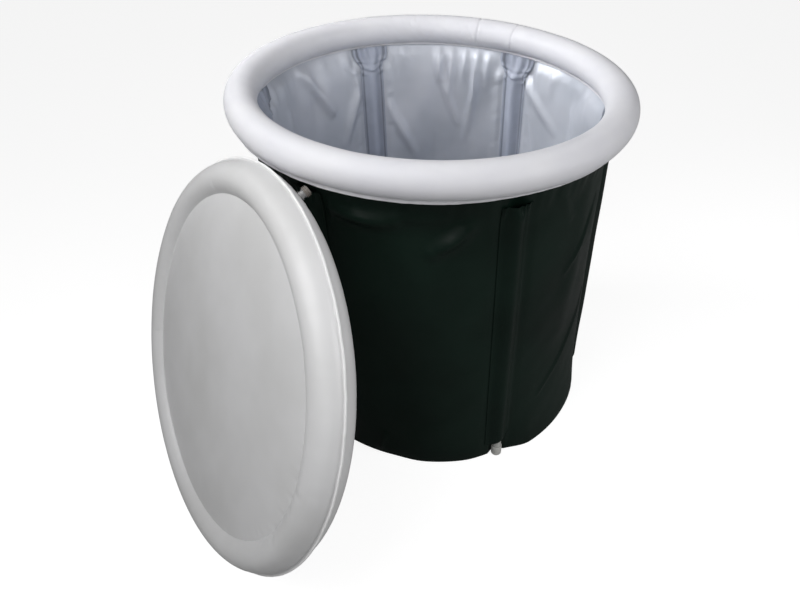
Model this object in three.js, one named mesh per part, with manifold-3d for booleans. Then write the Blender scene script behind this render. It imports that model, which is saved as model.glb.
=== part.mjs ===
// Cold plunge tub: a soft insulated wall held up by poles in pockets, an inflatable ring round the
// rim, an inflatable lid that leans against the tub, and a capped drain.
// Millimetres, +Z up. The origin is on the floor, in the middle of the base.
// A bearing is in degrees from the front (-Y), turning towards the right (+X).

import * as THREE from 'three';
import { mergeVertices } from 'three/addons/utils/BufferGeometryUtils.js';
import Module from 'manifold-3d';

const wasm = await Module();
wasm.setup();

// Driving dimensions: the tub as a whole. The soft wall leans, so the ring's middle stands a
// little to the left of the base's middle. Its top flares out to a rim under the ring's tube.
const TUB_HEIGHT = 750;
const RING_DIAMETER = 800;
const RING_TUBE = 63;
const RING_OFFSET = -33;
const RIM_INSET = 5;
const WALL_FLARE = 12;

// Driving dimensions: sheet goods and the gaps between them.
const BASE_SHEET = 1.5;
const BASE_FOAM = 6;
const WALL_SHEET = 1.2;
const WALL_FOAM = 4;
const LINER_SHEET = 0.8;
const STRIP_SHEET = 0.8;
const RING_SHEET = 1;
const LID_SHEET = 0.9;
const SHEET_GAP = 0.3;
const RIM_GAP = 0.5;
const FIT_GAP = 0.3;

// Driving dimensions: poles, their feet and their top plugs.
const POLE_COUNT = 6;
const FIRST_POLE_BEARING = 25.2;
const POLE_DIAMETER = 19;
const POLE_BORE = 15;
const POLE_PROUD = 2.5;
const FOOT_WALL = 1.7;
const FOOT_SOLE = 5;
const FOOT_HEIGHT = 26;
const FOOT_ROUNDING = 3;
const FOOT_LIFT = 0.7;
const PLUG_HEAD = 4;
const PLUG_STEM = 14;
const PLUG_ROUNDING = 1.2;

// Driving dimensions: the pole pockets welded on the wall, and the strips welded on the liner.
const POCKET_CLEARANCE = 2;
const POCKET_SPREAD = 2;
const POCKET_MARGIN = 6;
const POCKET_DROP = 33;
const POCKET_FLAP = 25;
const POCKET_FLAP_SHARE = 0.3;
const POCKET_MOUTH = 42;
const POCKET_SLANT = 13;

// Driving dimensions: the pleats of the slack liner between two poles.
const PLEATS_PER_PANEL = 2;
const PLEAT_DEPTH = 9;
const PLEAT_START = 180;
const PLEAT_FULL = 430;
const PLEAT_TOP_SHARE = 0.3;

// Driving dimensions: the ring's weld fins, which stand out below the tube on both sides.
const RING_FIN = 9;
const RING_FIN_ANGLE = 60;

// Driving dimensions: the lid and the way it leans.
const LID_DIAMETER = 754;
const LID_THICKNESS = 75.6;
const LID_RIM_WIDTH = 66;
const LID_FLANGE = 6;
const LID_WELD_DROP = 14.7;
const LID_CROWN = 10;
const LID_FACING_BEARING = -54.3;
const LID_LEAN_ANGLE = 20.3;
const LID_SIDE = 145.9;
const LID_LIFT = 0.5;
const LEAN_GAP = 1;

// Driving dimensions: the two inflation valves and where they sit.
const VALVE_STEM_DIAMETER = 13;
const VALVE_BORE = 8;
const VALVE_STEM_OUT = 9;
const VALVE_STEM_IN = 10;
const VALVE_FLANGE_DIAMETER = 22;
const VALVE_FLANGE = 1.5;
const VALVE_LIP = 1.6;
const VALVE_LIP_DIAMETER = 15.5;
const CAP_DIAMETER = 19;
const CAP_LENGTH = 9;
const CAP_ROUNDING = 1.5;
const CAP_PIN = 5;
const LID_VALVE_ANGLE = 84;
const LID_VALVE_TILT_ANGLE = 50;
const RING_VALVE_BEARING = 200;

// Driving dimensions: the drain, low on the wall.
const DRAIN_BEARING = 115;
const DRAIN_HEIGHT = 60;
const DRAIN_TUBE = 18;
const DRAIN_BORE = 12;
const DRAIN_FLANGE_DIAMETER = 32;
const DRAIN_FLANGE = 3;
const DRAIN_WASHER = 2.5;
const DRAIN_SPOUT_DIAMETER = 16;
const DRAIN_SPOUT = 24;
const DRAIN_NUT_WIDTH = 28;
const DRAIN_NUT = 8;
const DRAIN_THREAD_SPARE = 3;
const DRAIN_CAP_DIAMETER = 21;
const DRAIN_CAP_SKIRT = 18;
const DRAIN_CAP_END = 3;
const DRAIN_CAP_ROUNDING = 2;

// How finely round shapes are faceted.
const RING_SEGMENTS = 40;
const ARC_STEP = 30;
const PANEL_STEPS = 5;
const RIDGE_STEPS = 3;
const LID_DISC_STEPS = 3;
const LID_RIM_STEPS = 6;
const SMALL_SEGMENTS = 12;
const DRAIN_SEGMENTS = 20;
const LEAN_SAMPLES = 160;
const LEAN_SUBSTEPS = 10;
const LEAN_ROUNDS = 30;

const UP = new THREE.Vector3(0, 0, 1);

// Derived sizes of the ring.
const tubeRadius = RING_TUBE / 2;
const ringMiddle = RING_DIAMETER / 2 - tubeRadius;
const ringHeight = TUB_HEIGHT - tubeRadius;

// Derived sizes of the wall, layer by layer from the outside in, below the flare.
const wallRadius = ringMiddle - RIM_INSET - WALL_FLARE;
const foamOuter = wallRadius - WALL_SHEET - SHEET_GAP;
const linerOuter = foamOuter - WALL_FOAM - SHEET_GAP;
const linerInner = linerOuter - LINER_SHEET;
const stripOuter = linerInner - SHEET_GAP;
const wallDepth = wallRadius - linerInner;

// Derived heights, from the ring down to the floor.
const wallTop = ringHeight - Math.sqrt(tubeRadius ** 2 - RIM_INSET ** 2) - RIM_GAP;
const pocketTop = wallTop - POCKET_DROP;
const poleTop = pocketTop - POCKET_FLAP;
const baseTop = BASE_SHEET + SHEET_GAP;
const floorBottom = baseTop + BASE_FOAM + SHEET_GAP;
const linerBottom = floorBottom + LINER_SHEET + SHEET_GAP;

// Derived sizes of the poles and of the ridges that they press into the wall.
const poleRadius = POLE_DIAMETER / 2;
const boreRadius = POLE_BORE / 2;
const footRadius = poleRadius + FIT_GAP + FOOT_WALL;
const dentDepth = footRadius + POCKET_CLEARANCE - POLE_PROUD;
const pocketBulge = poleRadius + POLE_PROUD + POCKET_CLEARANCE;
const ridgeHalfAngle = THREE.MathUtils.radToDeg(footRadius * POCKET_SPREAD / wallRadius);
const pocketHalfAngle = ridgeHalfAngle + THREE.MathUtils.radToDeg(POCKET_MARGIN / wallRadius);
const poleStep = 360 / POLE_COUNT;

// Materials
function finish(color, roughness, metalness = 0) {
  return new THREE.MeshStandardMaterial({ color, roughness, metalness });
}
const wallFabric = finish(0x16211e, 0.5);
const linerFabric = finish(0xb4b7c2, 0.4);
const stripFilm = finish(0x8a9cb0, 0.3);
const ringFilm = finish(0xe3e3e8, 0.35);
const lidFilm = finish(0xe0e0e2, 0.4);
const foam = finish(0xd9d8d0, 0.9);
const poleTube = finish(0xdfe0da, 0.4);
const footPlastic = finish(0xd2d3cd, 0.45);
const clearPlastic = finish(0xc9cac6, 0.25);
const drainPlastic = finish(0xe8e8e4, 0.4);
const rubber = finish(0x2a2a2a, 0.8);

const tub = new THREE.Group();

// Gives a closed geometry with shared vertices and its faces pointing out.
function closed(geometry) {
  geometry.deleteAttribute('normal');
  geometry.deleteAttribute('uv');
  const merged = mergeVertices(geometry, 1e-4);
  const place = merged.getAttribute('position');
  const order = Array.from(merged.getIndex().array);
  const faces = [];
  for (let i = 0; i < order.length; i += 3) {
    const [a, b, c] = order.slice(i, i + 3);
    if (a !== b && b !== c && c !== a) {
      faces.push([a, b, c]);
    }
  }
  const corner = (index) => new THREE.Vector3().fromBufferAttribute(place, index);
  let volume = 0;
  for (const [a, b, c] of faces) {
    volume += corner(a).dot(corner(b).cross(corner(c)));
  }
  const outward = volume < 0 ? faces.map(([a, b, c]) => [a, c, b]) : faces;
  merged.setIndex(outward.flat());
  return merged;
}

// Adds a named piece to a group.
function piece(group, name, geometry, material) {
  const mesh = new THREE.Mesh(closed(geometry), material);
  mesh.name = name;
  group.add(mesh);
  return mesh;
}

// Turns a profile of [radius, height] points about the Z axis.
function turned(profile, segments) {
  const points = profile.map(([radius, height]) => new THREE.Vector2(radius, height));
  return new THREE.LatheGeometry(points, segments).rotateX(Math.PI / 2);
}

// A round bar or tube with its axis on Z.
function tube(outerRadius, innerRadius, from, to, segments) {
  const ring = [
    [innerRadius, from],
    [outerRadius, from],
    [outerRadius, to],
    [innerRadius, to],
    [innerRadius, from],
  ];
  return turned(ring, segments);
}

function bar(radius, from, to, segments) {
  return turned([[0, from], [radius, from], [radius, to], [0, to]], segments);
}

// A sheet between two faces, each a function of a column and a row.
function sheet(front, back, columns, rows, wraps) {
  const across = columns.length;
  const layer = across * rows.length;
  const positions = [];
  for (const face of [front, back]) {
    for (const row of rows) {
      for (const column of columns) {
        positions.push(...face(column, row).toArray());
      }
    }
  }
  const index = [];
  const quad = (a, b, c, d) => index.push(a, b, c, a, c, d);
  const at = (side, i, j) => side * layer + j * across + (i % across);
  const spans = wraps ? across : across - 1;
  const last = rows.length - 1;
  for (let i = 0; i < spans; i += 1) {
    for (let j = 0; j < last; j += 1) {
      quad(at(0, i, j), at(0, i + 1, j), at(0, i + 1, j + 1), at(0, i, j + 1));
      quad(at(1, i, j), at(1, i, j + 1), at(1, i + 1, j + 1), at(1, i + 1, j));
    }
    quad(at(0, i, 0), at(1, i, 0), at(1, i + 1, 0), at(0, i + 1, 0));
    quad(at(0, i, last), at(0, i + 1, last), at(1, i + 1, last), at(1, i, last));
  }
  if (!wraps) {
    for (let j = 0; j < last; j += 1) {
      quad(at(0, 0, j), at(0, 0, j + 1), at(1, 0, j + 1), at(1, 0, j));
      quad(at(0, spans, j), at(1, spans, j), at(1, spans, j + 1), at(0, spans, j + 1));
    }
  }
  const geometry = new THREE.BufferGeometry();
  geometry.setAttribute('position', new THREE.Float32BufferAttribute(positions, 3));
  geometry.setIndex(index);
  return geometry;
}

// A flat disc whose edge is a function of the bearing and the height.
function disc(edge, middle, columns, from, to) {
  const positions = [middle(from), middle(to)].flatMap((point) => point.toArray());
  for (const height of [from, to]) {
    for (const column of columns) {
      positions.push(...edge(column, height).toArray());
    }
  }
  const count = columns.length;
  const index = [];
  for (let i = 0; i < count; i += 1) {
    const next = (i + 1) % count;
    const [a, b, c, d] = [2 + i, 2 + next, 2 + count + next, 2 + count + i];
    index.push(a, b, c, a, c, d, 0, b, a, 1, d, c);
  }
  const geometry = new THREE.BufferGeometry();
  geometry.setAttribute('position', new THREE.Float32BufferAttribute(positions, 3));
  geometry.setIndex(index);
  return geometry;
}

// Boolean cuts
function solidOf(geometry) {
  const shape = closed(geometry.clone());
  return new wasm.Manifold(new wasm.Mesh({
    numProp: 3,
    vertProperties: new Float32Array(shape.getAttribute('position').array),
    triVerts: new Uint32Array(shape.getIndex().array),
  }));
}

function geometryOf(solid) {
  const mesh = solid.getMesh();
  const geometry = new THREE.BufferGeometry();
  geometry.setAttribute('position', new THREE.Float32BufferAttribute(mesh.vertProperties, 3));
  geometry.setIndex(Array.from(mesh.triVerts));
  return geometry;
}

function cut(geometry, tool) {
  return geometryOf(solidOf(geometry).subtract(solidOf(tool)));
}

function keepInside(geometry, tool) {
  return geometryOf(solidOf(geometry).intersect(solidOf(tool)));
}

// A group whose Z axis points along a direction, from a place.
function aimed(place, direction) {
  const group = new THREE.Group();
  group.position.copy(place);
  group.quaternion.setFromUnitVectors(UP, direction.clone().normalize());
  group.updateMatrix();
  return group;
}

// The leaning wall: its middle at a height, and a point on it.
function wallMiddle(height) {
  return new THREE.Vector3(RING_OFFSET * height / wallTop, 0, height);
}

function outwards(bearing) {
  const turn = THREE.MathUtils.degToRad(bearing);
  return new THREE.Vector3(Math.sin(turn), -Math.cos(turn), 0);
}

function onWall(bearing, radius, height) {
  return wallMiddle(height).addScaledVector(outwards(bearing), radius);
}

// How far a bearing is from the nearest pole, in degrees.
function fromPole(bearing) {
  const shifted = bearing - FIRST_POLE_BEARING + poleStep / 2;
  return THREE.MathUtils.euclideanModulo(shifted, poleStep) - poleStep / 2;
}

// The rounded ridge that a pole makes, from 0 beside it to 1 at its middle.
function ridge(bearing) {
  const away = Math.abs(fromPole(bearing)) / ridgeHalfAngle;
  return away < 1 ? 0.5 + 0.5 * Math.cos(Math.PI * away) : 0;
}

// The wall's layers step in behind each pole and come back to round at the top.
function dent(bearing, height) {
  const fade = THREE.MathUtils.clamp((wallTop - height) / (wallTop - poleTop), 0, 1);
  return dentDepth * ridge(bearing) * fade;
}

// The wall's layers flare out above the poles, up to the rim.
function flare(height) {
  return WALL_FLARE * THREE.MathUtils.clamp((height - poleTop) / (wallTop - poleTop), 0, 1);
}

// The slack liner hangs in pleats between the poles.
function pleat(bearing, height) {
  const fromStrip = Math.abs(fromPole(bearing)) - pocketHalfAngle;
  if (fromStrip <= 0) {
    return 0;
  }
  const along = fromStrip / (poleStep - 2 * pocketHalfAngle);
  const wave = 0.5 - 0.5 * Math.cos(2 * Math.PI * PLEATS_PER_PANEL * along);
  const rise = THREE.MathUtils.clamp((height - PLEAT_START) / (PLEAT_FULL - PLEAT_START), 0, 1);
  const gather = height > poleTop ? PLEAT_TOP_SHARE : 1;
  return PLEAT_DEPTH * wave * rise * gather;
}

// Bearings of the columns round a pole, and of the columns all the way round.
const pocketColumns = [-pocketHalfAngle];
for (let i = -RIDGE_STEPS; i <= RIDGE_STEPS; i += 1) {
  pocketColumns.push(ridgeHalfAngle * i / RIDGE_STEPS);
}
pocketColumns.push(pocketHalfAngle);

const wallColumns = [];
for (let pole = 0; pole < POLE_COUNT; pole += 1) {
  const bearing = FIRST_POLE_BEARING + poleStep * pole;
  pocketColumns.forEach((offset) => wallColumns.push(bearing + offset));
  for (let i = 1; i < PANEL_STEPS; i += 1) {
    const share = i / PANEL_STEPS;
    wallColumns.push(bearing + pocketHalfAngle + (poleStep - 2 * pocketHalfAngle) * share);
  }
}

// One layer of the wall, as a closed sleeve.
function wallLayer(outer, thickness, rows, slack) {
  const face = (radius) => (bearing, height) => {
    const inward = dent(bearing, height) + slack(bearing, height) - flare(height);
    return onWall(bearing, radius - inward, height);
  };
  return sheet(face(outer), face(outer - thickness), wallColumns, rows, true);
}

const taut = () => 0;

// A disc that fills a layer's outline at the foot of the wall.
function floorLayer(radius, from, to) {
  const edge = (bearing, height) => onWall(bearing, radius - dent(bearing, height), height);
  return disc(edge, wallMiddle, wallColumns, from, to);
}

// The drain's own frame: Z points out of the wall, and 0 is the wall's outer face.
const drain = aimed(onWall(DRAIN_BEARING, wallRadius, DRAIN_HEIGHT), outwards(DRAIN_BEARING));
const drainHoleReach = wallDepth + DRAIN_FLANGE_DIAMETER;

function drainHole() {
  const radius = DRAIN_TUBE / 2 + FIT_GAP;
  const hole = bar(radius, -drainHoleReach, drainHoleReach, DRAIN_SEGMENTS);
  return hole.applyMatrix4(drain.matrix);
}

// A plug of the space inside a radius, round the drain's height, in the drain's frame.
function spaceInside(radius) {
  const reach = DRAIN_FLANGE_DIAMETER;
  const edge = (bearing, height) => onWall(bearing, radius, height);
  const plug = disc(edge, wallMiddle, wallColumns, DRAIN_HEIGHT - reach, DRAIN_HEIGHT + reach);
  return plug.applyMatrix4(drain.matrix.clone().invert());
}

// Base and wall
function addWall() {
  const rows = [baseTop, poleTop, wallTop];
  const linerRows = [linerBottom, PLEAT_START, PLEAT_FULL, poleTop, wallTop];
  piece(tub, 'base_panel', floorLayer(wallRadius, 0, BASE_SHEET), wallFabric);
  const foamEdge = linerOuter;
  piece(tub, 'base_foam', floorLayer(foamEdge, baseTop, baseTop + BASE_FOAM), foam);
  piece(tub, 'liner_floor', floorLayer(linerOuter, floorBottom, floorBottom + LINER_SHEET), linerFabric);
  const wall = wallLayer(wallRadius, WALL_SHEET, rows, taut);
  const padding = wallLayer(foamOuter, WALL_FOAM, rows, taut);
  const liner = wallLayer(linerOuter, LINER_SHEET, linerRows, pleat);
  piece(tub, 'outer_wall', cut(wall, drainHole()), wallFabric);
  piece(tub, 'wall_foam', cut(padding, drainHole()), foam);
  piece(tub, 'liner_wall', cut(liner, drainHole()), linerFabric);
}

// One pocket on the outside of the wall. Its mouth is cut at a slant above the pole's foot.
function pocket(bearing) {
  const face = (lift) => (offset, level) => {
    const slant = POCKET_SLANT * THREE.MathUtils.clamp(offset / ridgeHalfAngle, -1, 1);
    const height = [POCKET_MOUTH + slant, poleTop, pocketTop][level];
    const fullness = level === 2 ? POCKET_FLAP_SHARE : 1;
    const bulge = pocketBulge * ridge(bearing + offset) * fullness + flare(height);
    return onWall(bearing + offset, wallRadius + SHEET_GAP + bulge + lift, height);
  };
  return sheet(face(WALL_SHEET), face(0), pocketColumns, [0, 1, 2], false);
}

// One clear strip on the inside of the liner, over the ridge that the pole makes.
function linerStrip(bearing) {
  const face = (radius) => (offset, height) => {
    const column = bearing + offset;
    return onWall(column, radius - dent(column, height) + flare(height), height);
  };
  const rows = [linerBottom, poleTop, wallTop];
  return sheet(face(stripOuter), face(stripOuter - STRIP_SHEET), pocketColumns, rows, false);
}

// One pole with its foot and top plug, in a frame along the pole.
function addPole(number, bearing) {
  const foot = onWall(bearing, wallRadius + POLE_PROUD, FOOT_LIFT);
  const head = onWall(bearing, wallRadius + POLE_PROUD, poleTop);
  const length = head.distanceTo(foot);
  const pole = aimed(foot, head.clone().sub(foot));
  const headBottom = length - PLUG_HEAD;
  const socket = [
    [0, 0],
    [footRadius - FOOT_ROUNDING, 0],
    [footRadius, FOOT_ROUNDING],
    [footRadius, FOOT_HEIGHT],
    [poleRadius + FIT_GAP, FOOT_HEIGHT],
    [poleRadius + FIT_GAP, FOOT_SOLE],
    [0, FOOT_SOLE],
  ];
  const plug = [
    [0, headBottom - PLUG_STEM],
    [boreRadius - FIT_GAP, headBottom - PLUG_STEM],
    [boreRadius - FIT_GAP, headBottom],
    [poleRadius, headBottom],
    [poleRadius, length - PLUG_ROUNDING],
    [poleRadius - PLUG_ROUNDING, length],
    [0, length],
  ];
  const barrel = tube(poleRadius, boreRadius, FOOT_SOLE + FIT_GAP, headBottom - FIT_GAP, SMALL_SEGMENTS);
  piece(pole, `pole_foot_${number}`, turned(socket, SMALL_SEGMENTS), footPlastic);
  piece(pole, `pole_${number}`, barrel, poleTube);
  piece(pole, `pole_plug_${number}`, turned(plug, SMALL_SEGMENTS), footPlastic);
  tub.add(pole);
}

function addPoles() {
  for (let i = 0; i < POLE_COUNT; i += 1) {
    const bearing = FIRST_POLE_BEARING + poleStep * i;
    addPole(i + 1, bearing);
    piece(tub, `pole_pocket_${i + 1}`, pocket(bearing), wallFabric);
    piece(tub, `liner_strip_${i + 1}`, linerStrip(bearing), stripFilm);
  }
}

// An inflation valve with its push-in cap. Z points outwards, and 0 is the film's outer face.
function addValve(parent, valve, bodyName, capName) {
  const stem = VALVE_STEM_DIAMETER / 2;
  const bore = VALVE_BORE / 2;
  const lip = VALVE_LIP_DIAMETER / 2;
  const cap = CAP_DIAMETER / 2;
  const capBottom = VALVE_STEM_OUT + FIT_GAP;
  const capTop = capBottom + CAP_LENGTH;
  const body = [
    [bore, -VALVE_STEM_IN],
    [VALVE_FLANGE_DIAMETER / 2, -VALVE_STEM_IN],
    [VALVE_FLANGE_DIAMETER / 2, VALVE_FLANGE - VALVE_STEM_IN],
    [stem, VALVE_FLANGE - VALVE_STEM_IN],
    [stem, VALVE_STEM_OUT - VALVE_LIP],
    [lip, VALVE_STEM_OUT - VALVE_LIP],
    [lip, VALVE_STEM_OUT],
    [bore, VALVE_STEM_OUT],
    [bore, -VALVE_STEM_IN],
  ];
  const pushCap = [
    [0, capBottom - CAP_PIN],
    [bore - FIT_GAP, capBottom - CAP_PIN],
    [bore - FIT_GAP, capBottom],
    [cap, capBottom],
    [cap, capTop - CAP_ROUNDING],
    [cap - CAP_ROUNDING, capTop],
    [0, capTop],
  ];
  piece(valve, bodyName, turned(body, SMALL_SEGMENTS), clearPlastic);
  piece(valve, capName, turned(pushCap, SMALL_SEGMENTS), clearPlastic);
  parent.add(valve);
}

function valveHole(valve) {
  const radius = VALVE_STEM_DIAMETER / 2 + FIT_GAP;
  const hole = bar(radius, -VALVE_STEM_IN, VALVE_STEM_OUT, SMALL_SEGMENTS);
  return hole.applyMatrix4(valve.matrix);
}

// A point of the ring's section, on a circle round the tube's middle.
function onTube(radius, angle) {
  const turn = THREE.MathUtils.degToRad(angle);
  return [ringMiddle + radius * Math.cos(turn), radius * Math.sin(turn)];
}

// Part of the tube's film between two angles, with a weld fin at both ends.
function tubeFilm(from, to) {
  const inner = tubeRadius - RING_SHEET;
  const outerTrim = THREE.MathUtils.radToDeg((SHEET_GAP / 2 + RING_SHEET) / tubeRadius);
  const innerTrim = THREE.MathUtils.radToDeg(SHEET_GAP / 2 / inner);
  const tip = tubeRadius + RING_FIN;
  const tipOuterTrim = THREE.MathUtils.radToDeg((SHEET_GAP / 2 + RING_SHEET) / tip);
  const tipInnerTrim = THREE.MathUtils.radToDeg(SHEET_GAP / 2 / tip);
  const steps = Math.ceil((to - from) / ARC_STEP);
  const arc = (radius, start, end) => {
    const points = [];
    for (let i = 0; i <= steps; i += 1) {
      points.push(onTube(radius, start + (end - start) * i / steps));
    }
    return points;
  };
  return [
    onTube(tip, from + tipInnerTrim),
    onTube(tip, from + tipOuterTrim),
    ...arc(tubeRadius, from + outerTrim, to - outerTrim),
    onTube(tip, to - tipOuterTrim),
    onTube(tip, to - tipInnerTrim),
    ...arc(inner, to - innerTrim, from + innerTrim),
    onTube(tip, from + tipInnerTrim),
  ];
}

function addRing() {
  const ring = new THREE.Group();
  ring.position.set(RING_OFFSET, 0, ringHeight);
  const direction = outwards(RING_VALVE_BEARING);
  const valve = aimed(direction.clone().multiplyScalar(ringMiddle + tubeRadius), direction);
  const upper = turned(tubeFilm(-RING_FIN_ANGLE, 180 + RING_FIN_ANGLE), RING_SEGMENTS);
  const lower = turned(tubeFilm(RING_FIN_ANGLE - 180, -RING_FIN_ANGLE), RING_SEGMENTS);
  piece(ring, 'ring_upper_film', cut(upper, valveHole(valve)), ringFilm);
  piece(ring, 'ring_lower_film', lower, ringFilm);
  addValve(ring, valve, 'ring_valve_body', 'ring_valve_cap');
  tub.add(ring);
}

// Derived sizes of the lid. Its rim is a half ellipse in section, and the flatter middle starts
// at a circular weld on the rim's inner side.
const lidRadius = LID_DIAMETER / 2;
const rimHalf = LID_RIM_WIDTH / 2;
const rimMiddle = lidRadius - LID_FLANGE - rimHalf;
const lidHalf = LID_THICKNESS / 2;
const weldHeight = lidHalf - LID_WELD_DROP;
const seamHalf = SHEET_GAP / 2;

// One face of the lid's film, offset inwards by a depth: the crowned middle, then the rim.
function lidFace(depth) {
  const width = rimHalf - depth;
  const height = lidHalf - depth;
  const weld = weldHeight - depth;
  const seam = seamHalf + LID_SHEET - depth;
  const weldAngle = Math.PI - Math.asin(weld / height);
  const seamAngle = Math.asin(seam / height);
  const weldRadius = rimMiddle + width * Math.cos(weldAngle);
  const points = [];
  for (let i = 0; i < LID_DISC_STEPS; i += 1) {
    const share = i / LID_DISC_STEPS;
    points.push([weldRadius * share, weld + LID_CROWN * (1 - share ** 4)]);
  }
  for (let i = 0; i <= LID_RIM_STEPS; i += 1) {
    const angle = weldAngle + (seamAngle - weldAngle) * i / LID_RIM_STEPS;
    points.push([rimMiddle + width * Math.cos(angle), height * Math.sin(angle)]);
  }
  return points;
}

function lidFilmProfile() {
  return [
    ...lidFace(0),
    [lidRadius, seamHalf + LID_SHEET],
    [lidRadius, seamHalf],
    ...lidFace(LID_SHEET).reverse(),
  ];
}

// The gap from a point to the ring: to its tube or to its outer weld fin.
const finRoot = new THREE.Vector3(...onTube(tubeRadius, -RING_FIN_ANGLE), 0);
const finTip = new THREE.Vector3(...onTube(tubeRadius + RING_FIN, -RING_FIN_ANGLE), 0);
const fin = new THREE.Line3(finRoot, finTip);
const finHalf = SHEET_GAP / 2 + RING_SHEET;

function ringGap(point) {
  const radius = Math.hypot(point.x - RING_OFFSET, point.y);
  const section = new THREE.Vector3(radius, point.z - ringHeight, 0);
  const toTube = Math.hypot(section.x - ringMiddle, section.y) - tubeRadius;
  const nearest = fin.closestPointToPoint(section, true, new THREE.Vector3());
  return Math.min(toTube, nearest.distanceTo(section) - finHalf);
}

// Points along one straight side of a profile, both ends included.
function subdivided([fromRadius, fromHeight], [toRadius, toHeight]) {
  const points = [];
  for (let i = 0; i <= LEAN_SUBSTEPS; i += 1) {
    const share = i / LEAN_SUBSTEPS;
    points.push([
      THREE.MathUtils.lerp(fromRadius, toRadius, share),
      THREE.MathUtils.lerp(fromHeight, toHeight, share),
    ]);
  }
  return points;
}

// The lid's pose: it stands on the floor, faces LID_FACING_BEARING, leans LID_LEAN_ANGLE from upright
// and is slid towards the tub until its back meets the ring.
function lidPose() {
  const lean = THREE.MathUtils.degToRad(LID_LEAN_ANGLE);
  const away = outwards(LID_FACING_BEARING);
  const front = away.clone().multiplyScalar(Math.cos(lean)).addScaledVector(UP, Math.sin(lean));
  const side = new THREE.Vector3().crossVectors(UP, front).normalize();
  const upward = new THREE.Vector3().crossVectors(front, side);
  const corners = [...lidFace(0), [lidRadius, seamHalf + LID_SHEET]];
  const outline = corners.slice(1).flatMap((corner, index) => subdivided(corners[index], corner));
  const reaches = outline.map(([radius, height]) => radius * Math.cos(lean) + height * Math.sin(lean));
  const height = LID_LIFT + Math.max(...reaches);
  const centreAt = (distance) => new THREE.Vector3(RING_OFFSET, 0, height)
    .addScaledVector(side, LID_SIDE)
    .addScaledVector(away, distance);
  const gapAt = (distance) => {
    const centre = centreAt(distance);
    let least = Infinity;
    for (let i = 0; i < LEAN_SAMPLES; i += 1) {
      const turn = 2 * Math.PI * i / LEAN_SAMPLES;
      for (const [radius, depth] of outline) {
        const point = centre.clone()
          .addScaledVector(side, radius * Math.cos(turn))
          .addScaledVector(upward, radius * Math.sin(turn))
          .addScaledVector(front, -depth);
        least = Math.min(least, ringGap(point));
      }
    }
    return least;
  };
  let near = ringMiddle;
  let far = RING_DIAMETER + LID_DIAMETER;
  for (let i = 0; i < LEAN_ROUNDS; i += 1) {
    const middle = (near + far) / 2;
    if (gapAt(middle) < LEAN_GAP) {
      near = middle;
    } else {
      far = middle;
    }
  }
  return new THREE.Matrix4().makeBasis(side, upward, front).setPosition(centreAt(far));
}

// The lid's valve sits square on the back of its rim, tilted from the lid's back towards its edge.
function lidValve() {
  const turn = THREE.MathUtils.degToRad(LID_VALVE_ANGLE);
  const tilt = THREE.MathUtils.degToRad(LID_VALVE_TILT_ANGLE);
  const edgewards = new THREE.Vector3(Math.cos(turn), Math.sin(turn), 0);
  const direction = edgewards.clone().multiplyScalar(Math.sin(tilt)).addScaledVector(UP, -Math.cos(tilt));
  const section = Math.atan2(lidHalf * Math.cos(tilt), rimHalf * Math.sin(tilt));
  const place = edgewards.clone()
    .multiplyScalar(rimMiddle + rimHalf * Math.cos(section))
    .addScaledVector(UP, -lidHalf * Math.sin(section));
  return aimed(place, direction);
}

function addLid() {
  const lid = new THREE.Group();
  lid.applyMatrix4(lidPose());
  const valve = lidValve();
  const front = turned(lidFilmProfile(), RING_SEGMENTS);
  const back = closed(turned(lidFilmProfile(), RING_SEGMENTS).scale(1, 1, -1));
  const inside = lidFace(LID_SHEET)[LID_DISC_STEPS];
  const band = inside[1] - FIT_GAP;
  const baffle = tube(inside[0], inside[0] - LID_SHEET, -band, band, RING_SEGMENTS);
  piece(lid, 'lid_front_film', front, lidFilm);
  piece(lid, 'lid_back_film', cut(back, valveHole(valve)), lidFilm);
  piece(lid, 'lid_inner_band', baffle, lidFilm);
  addValve(lid, valve, 'lid_valve_body', 'lid_valve_cap');
  tub.add(lid);
}

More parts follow.
